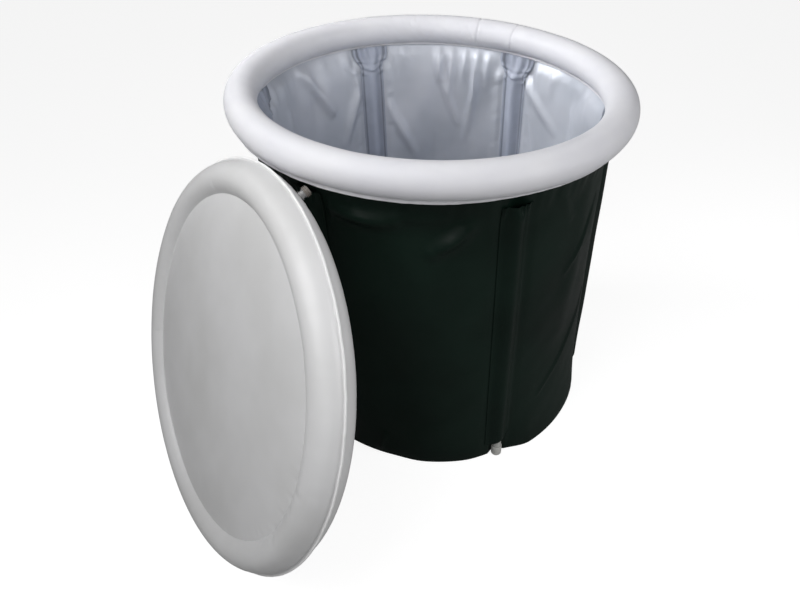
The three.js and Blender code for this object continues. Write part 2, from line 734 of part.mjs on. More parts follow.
// Drain: a flanged tube through the wall, clamped by a nut inside, with a push-on cap outside.
function addDrain() {
  const tubeHalf = DRAIN_TUBE / 2;
  const boreHalf = DRAIN_BORE / 2;
  const flangeHalf = DRAIN_FLANGE_DIAMETER / 2;
  const spoutHalf = DRAIN_SPOUT_DIAMETER / 2;
  const clearance = tubeHalf + FIT_GAP;
  const flangeFrom = DRAIN_WASHER + FIT_GAP;
  const flangeTo = flangeFrom + DRAIN_FLANGE;
  const spoutTo = flangeTo + DRAIN_SPOUT;
  const innerWasherTo = -wallDepth - DRAIN_WASHER;
  const nutFrom = innerWasherTo - FIT_GAP;
  const nutTo = nutFrom - DRAIN_NUT;
  const threadTo = nutTo - DRAIN_THREAD_SPARE;
  const body = [
    [boreHalf, threadTo],
    [tubeHalf, threadTo],
    [tubeHalf, flangeFrom],
    [flangeHalf, flangeFrom],
    [flangeHalf, flangeTo],
    [spoutHalf, flangeTo],
    [spoutHalf, spoutTo],
    [boreHalf, spoutTo],
    [boreHalf, threadTo],
  ];
  const capHalf = DRAIN_CAP_DIAMETER / 2;
  const capInside = spoutTo + FIT_GAP;
  const capFrom = capInside - DRAIN_CAP_SKIRT;
  const capTo = capInside + DRAIN_CAP_END;
  const cap = [
    [0, capInside],
    [spoutHalf + FIT_GAP, capInside],
    [spoutHalf + FIT_GAP, capFrom],
    [capHalf, capFrom],
    [capHalf, capTo - DRAIN_CAP_ROUNDING],
    [capHalf - DRAIN_CAP_ROUNDING, capTo],
    [0, capTo],
  ];
  const outerWasher = tube(flangeHalf, clearance, -DRAIN_WASHER, DRAIN_WASHER, DRAIN_SEGMENTS);
  const innerWasher = tube(flangeHalf, clearance, innerWasherTo, -wallDepth + DRAIN_WASHER, DRAIN_SEGMENTS);
  const nutRadius = DRAIN_NUT_WIDTH / Math.sqrt(3);
  const nut = cut(bar(nutRadius, nutTo, nutFrom, 6), bar(clearance, threadTo, 0, DRAIN_SEGMENTS));
  piece(drain, 'drain_body', turned(body, DRAIN_SEGMENTS), drainPlastic);
  piece(drain, 'drain_outer_washer', cut(outerWasher, spaceInside(wallRadius + SHEET_GAP)), rubber);
  piece(drain, 'drain_inner_washer', keepInside(innerWasher, spaceInside(stripOuter)), rubber);
  piece(drain, 'drain_nut', nut, drainPlastic);
  piece(drain, 'drain_cap', turned(cap, DRAIN_SEGMENTS), drainPlastic);
  tub.add(drain);
}

addWall();
addPoles();
addRing();
addLid();
addDrain();

export default tub;
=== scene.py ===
import math

import bpy
import numpy as np
from bpy.props import FloatProperty, FloatVectorProperty, IntProperty, PointerProperty
from mathutils import Matrix, Vector


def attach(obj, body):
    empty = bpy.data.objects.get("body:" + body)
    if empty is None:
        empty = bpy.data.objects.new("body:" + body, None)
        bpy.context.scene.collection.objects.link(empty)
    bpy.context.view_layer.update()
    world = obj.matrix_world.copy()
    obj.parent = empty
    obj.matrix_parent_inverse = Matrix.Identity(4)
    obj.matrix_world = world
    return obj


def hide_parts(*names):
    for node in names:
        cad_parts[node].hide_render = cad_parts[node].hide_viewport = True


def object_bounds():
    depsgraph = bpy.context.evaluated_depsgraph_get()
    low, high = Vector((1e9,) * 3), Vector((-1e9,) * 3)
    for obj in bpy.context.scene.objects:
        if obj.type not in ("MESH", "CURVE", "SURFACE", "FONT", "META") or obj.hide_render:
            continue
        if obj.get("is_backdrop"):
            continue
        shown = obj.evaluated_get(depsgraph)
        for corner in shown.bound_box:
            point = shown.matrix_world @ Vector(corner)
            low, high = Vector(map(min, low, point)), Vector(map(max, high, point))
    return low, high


bl_info = {
    "name": "Cold Plunge Tub",
    "version": (1, 0, 0),
    "blender": (4, 5, 0),
    "location": "View3D > Sidebar > Tub",
    "description": "Dresses a portable cold plunge tub with film, coated fabric and fittings",
    "category": "Object",
}

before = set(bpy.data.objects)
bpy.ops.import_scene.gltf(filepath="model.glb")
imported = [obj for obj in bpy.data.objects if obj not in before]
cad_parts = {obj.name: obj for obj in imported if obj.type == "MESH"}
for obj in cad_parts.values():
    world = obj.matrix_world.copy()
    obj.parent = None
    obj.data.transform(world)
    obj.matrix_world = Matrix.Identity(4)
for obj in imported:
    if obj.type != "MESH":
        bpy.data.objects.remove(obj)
CAD_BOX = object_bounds()

SHEET_SMOOTH = math.radians(50)
TURNED_SMOOTH = math.radians(35)
BEVEL_ANGLE = math.radians(40)
MERGE_DISTANCE = 0.000002
BUMP_DISTANCE = 0.002
FLOOR_GLOW = 0.86

# Spread of the wall's hem: degrees past the first pole, half width in degrees, reach
HEM_SPREADS = (
    (31.0, 29.0, 0.0155), (340.0, 19.0, 0.005), (90.0, 25.0, 0.006),
    (152.0, 25.0, 0.004), (212.0, 25.0, 0.007), (268.0, 24.0, 0.004),
)
HEM_EASE = 12
HEM_FADE = 0.11

# Columns of the wall's grid, closer together at the front
WALL_SHARES = (0, 0.16, 0.84, 1)
WALL_BEARINGS = (-180, -80, 95, 180)

# Folds: bearing and height of one end, bearing and height of the other, width, depth
WALL_FOLDS = (
    (2.0, 0.574, 11.5, 0.62, 0.0145, 0.0175),
    (-27.0, 0.632, -9.0, 0.628, 0.0145, 0.0145),
    (-13.0, 0.642, 4.0, 0.64, 0.012, 0.005),
    (-14.0, 0.6, 11.0, 0.46, 0.05, 0.007),
    (66.0, 0.575, 48.0, 0.457, 0.005, 0.0045),
    (70.0, 0.33, 42.0, 0.144, 0.005, 0.0045),
    (56.0, 0.6, 50.0, 0.3, 0.03, 0.005),
    (-19.2, 0.0, -16.0, 0.07, 0.007, 0.004),
    (40.0, 0.65, 47.0, 0.585, 0.01, 0.0035),
    (126.0, 0.64, 104.0, 0.47, 0.008, 0.003),
    (172.0, 0.62, 190.0, 0.41, 0.008, 0.003),
    (-70.0, 0.63, -48.0, 0.45, 0.008, 0.003),
    (-130.0, 0.34, -106.0, 0.12, 0.008, 0.003),
)
LINER_FOLDS = (
    (143.1, 0.65, 123.2, 0.552, 0.012, 0.009),
    (139.0, 0.64, 130.0, 0.44, 0.009, 0.006),
    (238.3, 0.68, 225.8, 0.561, 0.013, 0.014),
    (209.7, 0.615, 220.1, 0.473, 0.011, 0.013),
    (200.3, 0.556, 188.2, 0.413, 0.011, 0.014),
    (178.0, 0.65, 170.0, 0.5, 0.009, 0.009),
    (160.0, 0.64, 166.0, 0.46, 0.009, 0.008),
    (114.0, 0.62, 98.0, 0.4, 0.009, 0.005),
    (60.0, 0.63, 74.0, 0.44, 0.009, 0.006),
    (300.0, 0.63, 284.0, 0.42, 0.009, 0.006),
    (348.0, 0.62, 356.0, 0.45, 0.009, 0.005),
    (250.0, 0.6, 246.0, 0.38, 0.009, 0.006),
    (176.5, 0.682, 177.5, 0.61, 0.0075, 0.009),
    (171.5, 0.682, 173.0, 0.575, 0.0075, 0.0105),
    (166.5, 0.682, 167.0, 0.62, 0.0075, 0.009),
    (161.5, 0.682, 162.5, 0.565, 0.0075, 0.0105),
    (157.0, 0.682, 157.5, 0.6, 0.0075, 0.008),
    (136.0, 0.682, 134.0, 0.62, 0.0075, 0.004),
    (128.0, 0.682, 127.0, 0.63, 0.0075, 0.004),
)

# Columns of the ring, closer together where its back shows, and the bearings of its cross welds
RING_EVEN = (0, 97.5, 117.5, 123.5, 253.5, 360)
RING_BEARINGS = (0, 145.5, 150.5, 159.5, 201, 360)
RING_SEAMS = (162.3, 148.0)
RING_CREASES = 22

# Creases across the lid's circular weld: angle, reach, depth
LID_CREASES = (
    (2.4, 0.019, 0.0032), (-4.5, 0.013, 0.0018), (-20.2, 0.017, 0.0026), (41.0, 0.013, 0.0014),
    (118.0, 0.014, 0.0016), (203.0, 0.015, 0.0018), (262.0, 0.013, 0.0014),
)

# Lamps: side, place, target, size, spread in degrees
LAMPS = (
    ("left", (-0.8, -0.9, 1.7), (0.0, 0.0, 0.45), 1.2, 180),
    ("right", (1.6, -1.1, 1.3), (0.0, 0.0, 0.4), 1.2, 180),
    ("front", (0.0, -2.2, 1.3), (0.0, 0.0, 0.45), 1.6, 180),
    ("inside", (-1.2, 0.25, 1.6), (0.3, 0.12, 0.6), 0.5, 50),
)


def length(name, description, default):
    return FloatProperty(name=name, description=description, default=default, unit="LENGTH", precision=4)


def degrees(name, description, default):
    return FloatProperty(name=name, description=f"{description}, in degrees", default=default, precision=3)


def watts(name, description, default):
    return FloatProperty(name=name, description=f"{description}, in watts", default=default, min=0.0)


def point(name, description, default):
    return FloatVectorProperty(name=name, description=description, default=default, size=3, subtype="XYZ",
                               unit="LENGTH")


def colour(name, description, default):
    return FloatVectorProperty(name=name, description=description, default=default, size=3, subtype="COLOR")


class TubSizes(bpy.types.PropertyGroup):
    tub_height: length("Tub height", "From the floor to the top of the ring", 0.75)
    ring_diameter: length("Ring diameter", "Outside of the air ring", 0.8)
    ring_tube: length("Ring tube", "Thickness of the air ring", 0.063)
    ring_offset: length("Ring offset", "How far the ring stands to the right of the base", -0.033)
    rim_inset: length("Rim inset", "How far the wall's top stands inside the tube's middle", 0.005)
    wall_flare: length("Wall flare", "How far the wall flares out to its top", 0.012)
    rim_gap: length("Rim gap", "Between the ring and the top of the wall", 0.0005)
    ring_fin: length("Ring fin", "Width of the ring's weld fins", 0.009)
    fin_angle: degrees("Fin angle", "How far the fins sit below the ring's middle", 60.0)
    base_sheet: length("Base sheet", "Thickness of the base", 0.0015)
    floor_height: length("Liner floor height", "Underside of the liner's floor", 0.0081)
    wall_sheet: length("Wall sheet", "Thickness of the coated fabric", 0.0012)
    wall_foam: length("Wall foam", "Thickness of the foam behind the wall", 0.004)
    liner_sheet: length("Liner sheet", "Thickness of the liner", 0.0008)
    sheet_gap: length("Sheet gap", "Clearance between two layers", 0.0003)
    pole_count: IntProperty(name="Poles", description="Number of poles round the wall", default=6, min=3)
    first_pole: degrees("First pole", "Bearing of the first pole from the front", 25.2)
    pole_diameter: length("Pole diameter", "Outside of a pole", 0.019)
    pole_bore: length("Pole bore", "Inside of a pole", 0.015)
    pole_proud: length("Pole stand-out", "Middle of a pole outside the wall's line", 0.0025)
    foot_diameter: length("Foot diameter", "Outside of a pole's foot", 0.023)
    foot_height: length("Foot height", "Height of a pole's foot", 0.026)
    foot_sole: length("Foot sole", "Thickness under the pole", 0.005)
    foot_lift: length("Foot lift", "Clearance of the foot above the floor", 0.0007)
    pocket_clearance: length("Pocket clearance", "Room round a pole in its pocket", 0.002)
    pocket_margin: length("Pocket margin", "Flat weld on either side of a pocket", 0.006)
    pocket_drop: length("Pocket drop", "From the top of the wall to the top of a pocket", 0.033)
    pocket_flap: length("Pocket flap", "Flattened top of a pocket", 0.025)
    pocket_mouth: length("Pocket mouth", "Height of a pocket's open foot", 0.0525)
    pocket_slant: length("Pocket slant", "Rise of the mouth from its middle to its side", 0.016)
    knot_height: length("Knot height", "Height of the gathers at the top of the strips", 0.641)
    lid_centre: point("Lid centre", "Middle of the leaning lid", (-0.376037, -0.426158, 0.354448))
    lid_facing: degrees("Lid facing", "Bearing that the lid's face looks to", -54.3)
    lid_lean: degrees("Lid lean", "How far the lid leans from upright", 20.3)
    lid_diameter: length("Lid diameter", "Across the lid's weld seam", 0.754)
    lid_thickness: length("Lid thickness", "Across the blown-up rim", 0.0756)
    lid_rim: length("Lid rim", "Width of the blown-up rim", 0.066)
    lid_flange: length("Lid seam", "Width of the weld seam round the edge", 0.006)
    lid_weld_drop: length("Lid weld drop", "Depth of the circular weld under the rim", 0.0147)
    lid_crown: length("Lid crown", "Rise of the lid's middle above the weld", 0.01)
    lid_sheet: length("Lid sheet", "Thickness of the lid's film", 0.0009)
    lid_valve_angle: degrees("Lid valve angle", "Place of the lid's valve from the lid's side", 84.0)
    lid_valve_tilt: degrees("Lid valve tilt", "How far the valve tilts from the lid's back to its edge", 50.0)
    ring_valve: degrees("Ring valve", "Bearing of the ring's valve", 200.0)
    drain_bearing: degrees("Drain bearing", "Bearing of the drain", 115.0)
    drain_height: length("Drain height", "Middle of the drain above the floor", 0.06)


class TubColours(bpy.types.PropertyGroup):
    wall: colour("Wall", "Dark coated fabric", (0.0031, 0.0086, 0.006))
    # Painted sheen: a lighter green mixed in by cloudy patches, standing in for the satin coat's lit patches
    wall_painted_sheen: colour("Wall, rubbed", "Rubbed patches of the dark fabric", (0.006, 0.016, 0.0112))
    liner: colour("Liner", "Silvery film", (0.525, 0.555, 0.615))
    liner_light: colour("Liner, bright", "Brighter patches of the silvery film", (0.66, 0.68, 0.74))
    strip: colour("Clear strip", "Bluish clear film", (0.39, 0.42, 0.5))
    ring: colour("Ring", "White film of the ring", (0.765, 0.765, 0.795))
    ring_shade: colour("Ring, shaded", "Slightly greyer film", (0.72, 0.72, 0.76))
    lid: colour("Lid", "White film of the lid", (0.735, 0.735, 0.742))
    lid_shade: colour("Lid, shaded", "Slightly greyer film", (0.66, 0.66, 0.66))
    # Painted highlight: the whiter seam colour stands in for the bright line along the lid's weld seam
    lid_seam: colour("Lid seam", "Doubled film of the weld seam", (0.93, 0.93, 0.93))
    plastic: colour("White plastic", "Feet, poles and drain", (0.68, 0.68, 0.65))
    clear: colour("Clear plastic", "Valve stems", (0.5, 0.5, 0.5))
    cap: colour("Valve cap", "Brownish clear plastic", (0.25, 0.225, 0.2))
    foam: colour("Foam", "Insulation", (0.7, 0.69, 0.64))
    rubber: colour("Rubber", "Washers", (0.02, 0.02, 0.02))
    floor: colour("Floor", "Studio floor", (0.36, 0.36, 0.36))


class StageSettings(bpy.types.PropertyGroup):
    camera_place: point("Camera place", "Where the camera stands", (-0.033, -1.275234, 1.225093))
    camera_pitch: degrees("Camera pitch", "How far the camera looks down", 39.485)
    camera_yaw: degrees("Camera yaw", "How far the camera turns left", 2.42)
    camera_roll: degrees("Camera roll", "How far the camera tips to its left", 0.826)
    camera_lens: FloatProperty(name="Lens", description="Focal length in millimetres", default=29.737)
    sky: FloatProperty(name="Sky", description="Even light from all sides", default=0.1, min=0.0)
    left: watts("Left light", "Power of the lamp at the front left", 16.5)
    right: watts("Right light", "Power of the lamp at the front right", 15.5)
    front: watts("Front light", "Power of the large lamp at the front", 4.5)
    inside: watts("Inside light", "Power of the lamp that looks into the tub", 1.8)


class TubShape:
    """The tub's working lines, worked out from its sizes."""

    def __init__(self, sizes):
        self.sizes = sizes
        self.tube = sizes.ring_tube / 2
        self.ring = sizes.ring_diameter / 2 - self.tube
        self.ring_height = sizes.tub_height - self.tube
        self.wall = self.ring - sizes.rim_inset - sizes.wall_flare
        drop = math.sqrt(self.tube ** 2 - sizes.rim_inset ** 2)
        self.top = self.ring_height - drop - sizes.rim_gap
        self.pocket_top = self.top - sizes.pocket_drop
        self.pole_top = self.pocket_top - sizes.pocket_flap
        self.foam = self.wall - sizes.wall_sheet - sizes.sheet_gap
        self.liner = self.foam - sizes.wall_foam - sizes.sheet_gap
        self.strip = self.liner - sizes.liner_sheet - sizes.sheet_gap
        self.foot = sizes.foot_diameter / 2
        self.pole = sizes.pole_diameter / 2
        self.dent_depth = self.foot + sizes.pocket_clearance - sizes.pole_proud
        self.bulge = self.pole + sizes.pole_proud + sizes.pocket_clearance
        self.ridge_half = math.degrees(2 * self.foot / self.wall)
        self.pocket_half = self.ridge_half + math.degrees(sizes.pocket_margin / self.wall)
        self.step = 360 / sizes.pole_count
        self.pole_bearings = [sizes.first_pole + self.step * index for index in range(sizes.pole_count)]
        self.wall_bottom = sizes.base_sheet + sizes.sheet_gap
        self.liner_bottom = sizes.floor_height + sizes.liner_sheet + sizes.sheet_gap
        self.lid_edge = sizes.lid_diameter / 2
        self.lid_half_rim = sizes.lid_rim / 2
        self.lid_half = sizes.lid_thickness / 2
        self.lid_rim_middle = self.lid_edge - sizes.lid_flange - self.lid_half_rim
        self.lid_seam = sizes.sheet_gap / 2 + sizes.lid_sheet

    def on_wall(self, bearing, radius, height):
        """A point at a bearing and radius round the leaning middle of the wall."""
        turn = np.radians(bearing)
        x = self.sizes.ring_offset * height / self.top + radius * np.sin(turn)
        y = -radius * np.cos(turn)
        return np.stack([x, y, height + 0 * x], axis=-1)

    def risen(self, bottom, share):
        """A height between a sheet's bottom and the top of the wall."""
        return bottom + (self.top - bottom) * share

    def from_pole(self, bearing):
        """Degrees from the nearest pole."""
        return np.mod(bearing - self.sizes.first_pole + self.step / 2, self.step) - self.step / 2

    def ridge(self, bearing):
        """The ridge that a pole makes, from 0 beside it to 1 at its middle."""
        away = np.clip(np.abs(self.from_pole(bearing)) / self.ridge_half, 0, 1)
        return 0.5 + 0.5 * np.cos(np.pi * away)

    def flare(self, height):
        """How far the wall's layers flare out towards the rim."""
        start = self.pole_top - self.sizes.pocket_flap
        return self.sizes.wall_flare * np.clip((height - start) / (self.top - start), 0, 1) ** 1.7

    def dent(self, bearing, height):
        """How far the wall's layers step in behind a pole, less their flare."""
        fade = np.clip((self.top - height) / (self.top - self.pole_top), 0, 1)
        return self.dent_depth * self.ridge(bearing) * fade - self.flare(height)

    def spread(self, bearing, height):
        """How far the soft wall spreads out at its foot, between the pockets."""
        panel = np.mod(bearing - self.sizes.first_pole, 360)
        total = sum(reach * smooth((half - np.abs(panel - middle)) / HEM_EASE)
                    for middle, half, reach in HEM_SPREADS)
        return total * np.exp(-height / HEM_FADE)

    def beside_pockets(self, bearing, ease):
        """0 on the pockets, rising to 1 within ease degrees of their edges."""
        return smooth((np.abs(self.from_pole(bearing)) - self.pocket_half) / ease)

    def wall_slack(self, bearing, height):
        """How far the soft wall stands out in folds between the pockets."""
        across = np.radians(np.mod(bearing + 180, 360) - 180) * self.wall
        broad, fine, gather = 0.0011, 0.0004, 0.0008
        gather_start, gather_rise = 0.615, 0.04
        slack = broad * (1 + ripple(bearing + 70 * height, (5, 8, 13, 21), 1.0))
        slack += fine * (1 + ripple(bearing - 160 * height, (9, 17, 26), 2.0))
        slack += folded(across, height, WALL_FOLDS, math.radians(1) * self.wall)
        gathers = 1 + ripple(bearing, (47, 71, 98), 3.0)
        slack += gather * gathers * smooth((height - gather_start) / gather_rise)
        ends = smooth((height - self.wall_bottom) / 0.02) * smooth((self.top - height) / 0.012)
        return np.maximum(slack, 0) * (0.25 + 0.75 * ends) * self.beside_pockets(bearing, 3.0)

    def liner_slack(self, bearing, height):
        """How far the slack liner stands in, with pleats, gathers under the rim, folds and puckered welds."""
        sizes = self.sizes
        beside = np.abs(self.from_pole(bearing)) - self.pocket_half
        share = np.maximum(beside, 0) / (self.step - 2 * self.pocket_half)
        pleat, scallop, fine, pucker = 0.0088, 0.0065, 0.0012, 0.0022
        pleat_start, pleat_rise, scallop_start = 0.16, 0.27, 0.625
        knot_start, knot_half = 0.632, 7.4
        rise = smooth((height - pleat_start) / pleat_rise)
        drift = 0.09 * np.sin(9 * height + 2.3 * ripple(bearing, (3, 7), 0.5))
        pleats = swell(2 * (share + drift * share * (1 - share) * 4))
        fold = pleat * pleats * rise * (1 - 0.45 * smooth((height - self.pole_top) / 0.05))
        scallops = 0.5 + 0.5 * ripple(bearing, (29, 43, 61, 83), 4.0)
        start = scallop_start + 0.03 * ripple(bearing, (7, 13, 19), 3.0)
        fold += scallop * np.clip(scallops, 0, 1.4) * smooth((height - start) / 0.05)
        degree = math.radians(1) * self.liner
        fold += folded(np.mod(bearing, 360) * degree, height, LINER_FOLDS, degree)
        fold += fine * (1 + ripple(bearing + 90 * height, (11, 19, 31), 5.0))
        fold += pucker * hump(beside - 2.2, 1.6) * (1 + ripple(1100 * height + 3 * bearing, (9, 13, 17), 2.0))
        held = smooth((height - self.liner_bottom) / 0.05)
        held *= 0.2 + 0.8 * smooth((self.top - height) / 0.022)
        beside_knot = smooth((np.abs(self.from_pole(bearing)) - knot_half) / 2.5)
        held *= 1 - smooth((height - knot_start) / 0.02) * (1 - beside_knot)
        held *= 1 - hump(bearing - sizes.drain_bearing, 4.5) * hump(height - sizes.drain_height, 0.035)
        return np.maximum(fold, 0) * held * self.beside_pockets(bearing, 2.2)

    def disc(self, outer, level, spread_share=0):
        """The shape of a flat disc within one layer of the wall, which may follow the spread of the hem."""

        def shape(across, along):
            bearing = 360 * across + self.sizes.first_pole
            height = np.full_like(along, level)
            edge = outer - self.dent(bearing, height) + spread_share * self.spread(bearing, height)
            return self.on_wall(bearing, edge * along, height)

        return shape

    def pole_frames(self):
        """A frame along each pole, with its length."""
        radius = self.wall + self.sizes.pole_proud
        for bearing in self.pole_bearings:
            foot = Vector(self.on_wall(bearing, radius, self.sizes.foot_lift).tolist())
            head = Vector(self.on_wall(bearing, radius, self.pole_top).tolist())
            yield aimed(foot, head - foot), (head - foot).length

    def lid_frame(self):
        """The leaning lid's frame: Z is its front, and Y points up along it."""
        lean = math.radians(self.sizes.lid_lean)
        front = outward(self.sizes.lid_facing) * math.cos(lean) + Vector((0, 0, math.sin(lean)))
        side = Vector((0, 0, 1)).cross(front).normalized()
        place = Matrix((side, front.cross(side), front)).transposed().to_4x4()
        place.translation = Vector(self.sizes.lid_centre)
        return place

    def lid_section(self):
        """The lid's front section as radii and heights, and the radius of its circular weld."""
        sizes = self.sizes
        weld = self.lid_half - sizes.lid_weld_drop
        weld_turn = math.pi - math.asin(weld / self.lid_half)
        weld_radius = self.lid_rim_middle + self.lid_half_rim * math.cos(weld_turn)
        share = np.linspace(0, 1, 60)
        flat = np.stack([weld_radius * share, weld + sizes.lid_crown * (1 - share ** 4)])
        turn = np.linspace(weld_turn, math.asin(self.lid_seam / self.lid_half), 80)[1:]
        rim = np.stack([self.lid_rim_middle + self.lid_half_rim * np.cos(turn), self.lid_half * np.sin(turn)])
        flange = np.stack([np.linspace(rim[0, -1], self.lid_edge, 9)[1:], np.full(8, self.lid_seam)])
        return np.concatenate([flat, rim, flange], axis=1), weld_radius

    def lid_dip(self, angle, radius, weld_radius, seed):
        """How far puckers, waves and creases press a film of the lid in."""
        from_weld = radius - weld_radius
        weld, pucker, wave, rim_pucker = 0.0007, 0.00055, 0.0008, 0.0008
        dip = weld * hump(from_weld, 0.0022)
        puckers = ripple(angle, (83, 121, 167), seed) + 0.4
        dip += pucker * puckers * hump(from_weld, 0.016) * smooth(np.abs(from_weld) / 0.006)
        waves = ripple(angle, (2, 5, 9), seed + 4) * smooth(radius / weld_radius)
        dip += wave * waves * hump(from_weld, 0.09)
        rim_side = smooth((radius - self.lid_edge + 0.03) / 0.024)
        rim_side *= smooth((self.lid_edge - self.sizes.lid_flange - radius + 0.004) / 0.006)
        dip += rim_pucker * ripple(angle, (57, 91, 139), seed + 1) * rim_side
        for crease, reach, depth in LID_CREASES:
            away = np.radians(np.mod(angle - crease + 180, 360) - 180) * radius
            dip += depth * hump(away, 0.0032) * hump(from_weld - 0.009, reach)
        return np.maximum(dip, 0)


def smooth(value):
    """An eased step from 0 to 1."""
    value = np.clip(value, 0, 1)
    return value * value * (3 - 2 * value)


def hump(distance, width):
    """A rounded bump, 1 at its middle and near 0 at twice its width."""
    return np.exp(-(distance / width) ** 2)


def swell(turns):
    """A wave that rises from 0 to 1 and falls back in each turn."""
    return 0.5 - 0.5 * np.cos(2 * np.pi * turns)


def ripple(angle, counts, seed):
    """An uneven wave round a full turn, between about -1 and 1. Angles are in degrees."""
    total = 0 * angle
    for index, count in enumerate(counts):
        phase = seed * 1.7 + index * 2.399
        total = total + np.sin(np.radians(angle) * count + phase) / (1 + 0.35 * index)
    return total / (0.62 * len(counts))


def scattered(index, step, start=0):
    """An uneven share from 0 to 1 for each index."""
    return (step * index + start) % 1


def fold_line(across, height, start, end, width):
    """A fold along a straight line, as 1 on the line and 0 well beside it. Across and height are lengths."""
    start = np.array(start)
    run = np.array(end) - start
    along = ((across - start[0]) * run[0] + (height - start[1]) * run[1]) / (run @ run)
    inside = np.clip(along, 0, 1)
    away = np.hypot(across - start[0] - inside * run[0], height - start[1] - inside * run[1])
    return hump(away, width) * (0.35 + 0.65 * np.sin(np.pi * np.clip(inside, 0.06, 0.94)))


def folded(across, height, folds, degree):
    """The sum of a table's folds, where degree is the length of one degree of bearing."""
    return sum(depth * fold_line(across, height, (first * degree, low), (last * degree, high), width)
               for first, low, last, high, width, depth in folds)


def outward(bearing):
    """The level direction at a bearing from the front."""
    turn = math.radians(bearing)
    return Vector((math.sin(turn), -math.cos(turn), 0))


def aimed(place, direction):
    """A frame at a place whose Z axis points along a direction."""
    turn = Vector((0, 0, 1)).rotation_difference(direction.normalized())
    return Matrix.Translation(place) @ turn.to_matrix().to_4x4()


def only(piece):
    """Selects one object and makes it active."""
    bpy.ops.object.select_all(action="DESELECT")
    piece.select_set(True)
    bpy.context.view_layer.objects.active = piece


def added(name, add, **values):
    """Adds one new object by its operator, with nothing else selected, and names it."""
    bpy.ops.object.select_all(action="DESELECT")
    add(**values)
    piece = bpy.context.object
    piece.name = name
    piece.data.name = name
    return piece


def edited(piece, *steps):
    """Runs edit-mode steps on the whole of a piece."""
    only(piece)
    bpy.ops.object.mode_set(mode="EDIT")
    bpy.ops.mesh.select_all(action="SELECT")
    for step in steps:
        step()
    bpy.ops.object.mode_set(mode="OBJECT")


def merge():
    """Joins the selected points that lie on each other."""
    bpy.ops.mesh.remove_doubles(threshold=MERGE_DISTANCE)


def places(piece):
    """The piece's vertices as an array of points."""
    flat = np.empty(len(piece.data.vertices) * 3)
    piece.data.vertices.foreach_get("co", flat)
    return flat.reshape(-1, 3)


def moved(piece, points):
    """Moves the piece's vertices to an array of points."""
    piece.data.vertices.foreach_set("co", np.ascontiguousarray(points, dtype=float).ravel())
    piece.data.update()


def modified(piece, kind, **values):
    """Adds a modifier and applies it."""
    only(piece)
    modifier = piece.modifiers.new(kind.title(), kind)
    for key, value in values.items():
        setattr(modifier, key, value)
    bpy.ops.object.modifier_apply(modifier=modifier.name)


def shaded(piece, angle):
    """Smooths the shading where faces meet at less than an angle."""
    only(piece)
    bpy.ops.object.shade_smooth_by_angle(angle=angle)


def sheet_piece(name, columns, rows, shape, thickness, closes=True, flips=False, offset=-1):
    """A sheet along a curved surface. Shape takes shares across and along from 0 to 1."""
    piece = added(name, bpy.ops.mesh.primitive_grid_add, x_subdivisions=columns, y_subdivisions=rows, size=1)
    shares = places(piece) + 0.5
    moved(piece, shape(shares[:, 0], shares[:, 1]))
    steps = [merge] if closes else []
    if flips:
        steps.append(bpy.ops.mesh.flip_normals)
    edited(piece, *steps)
    modified(piece, "SOLIDIFY", thickness=thickness, offset=offset)
    shaded(piece, SHEET_SMOOTH)
    return piece


def turned_piece(name, outline, steps, place, bevel=0.0004):
    """Spins a closed outline of (radius, height) points about its axis, and puts it in its place."""
    piece = added(name, bpy.ops.mesh.primitive_circle_add, vertices=len(outline), radius=1)
    moved(piece, np.array([(radius, 0, height) for radius, height in outline]))
    edited(
        piece,
        lambda: bpy.ops.mesh.spin(steps=steps, angle=2 * math.pi, center=(0, 0, 0), axis=(0, 0, 1)),
        lambda: bpy.ops.mesh.select_all(action="SELECT"),
        merge,
        lambda: bpy.ops.mesh.delete_loose(use_verts=True, use_edges=True, use_faces=False),
        lambda: bpy.ops.mesh.select_all(action="SELECT"),
        lambda: bpy.ops.mesh.normals_make_consistent(inside=False),
    )
    if bevel:
        modified(piece, "BEVEL", width=bevel, segments=2, limit_method="ANGLE", angle_limit=BEVEL_ANGLE)
    piece.data.transform(place)
    piece.data.update()
    shaded(piece, TURNED_SMOOTH)
    return piece


def banded(*bands):
    """The outline of a stack of bands, each with its radius and the heights where it starts and ends."""
    return [(radius, height) for radius, *heights in bands for height in heights]


def ribbed(piece, place, low, high, radius, count, depth):
    """Presses grip ribs into the side of a turned piece between two heights of its own frame."""
    inverse = np.array(place.inverted())
    own = places(piece) @ inverse[:3, :3].T + inverse[:3, 3]
    reach = np.hypot(own[:, 0], own[:, 1])
    turns = np.arctan2(own[:, 1], own[:, 0]) / (2 * np.pi)
    held = (own[:, 2] > low) & (own[:, 2] < high) & (reach > radius)
    groove = np.where(held, depth * swell(count * turns), 0)
    own[:, :2] *= (1 - groove / np.maximum(reach, 1e-6))[:, None]
    forward = np.array(place)
    moved(piece, own @ forward[:3, :3].T + forward[:3, 3])


def dressed(piece, body, slot, finish, *nodes):
    """Puts a finish on a piece, ties it to its body and hides the solids it stands for. The slot is not used.
    """
    piece.data.materials.clear()
    piece.data.materials.append(finish)
    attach(piece, body)
    if nodes:
        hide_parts(*nodes)
    return piece


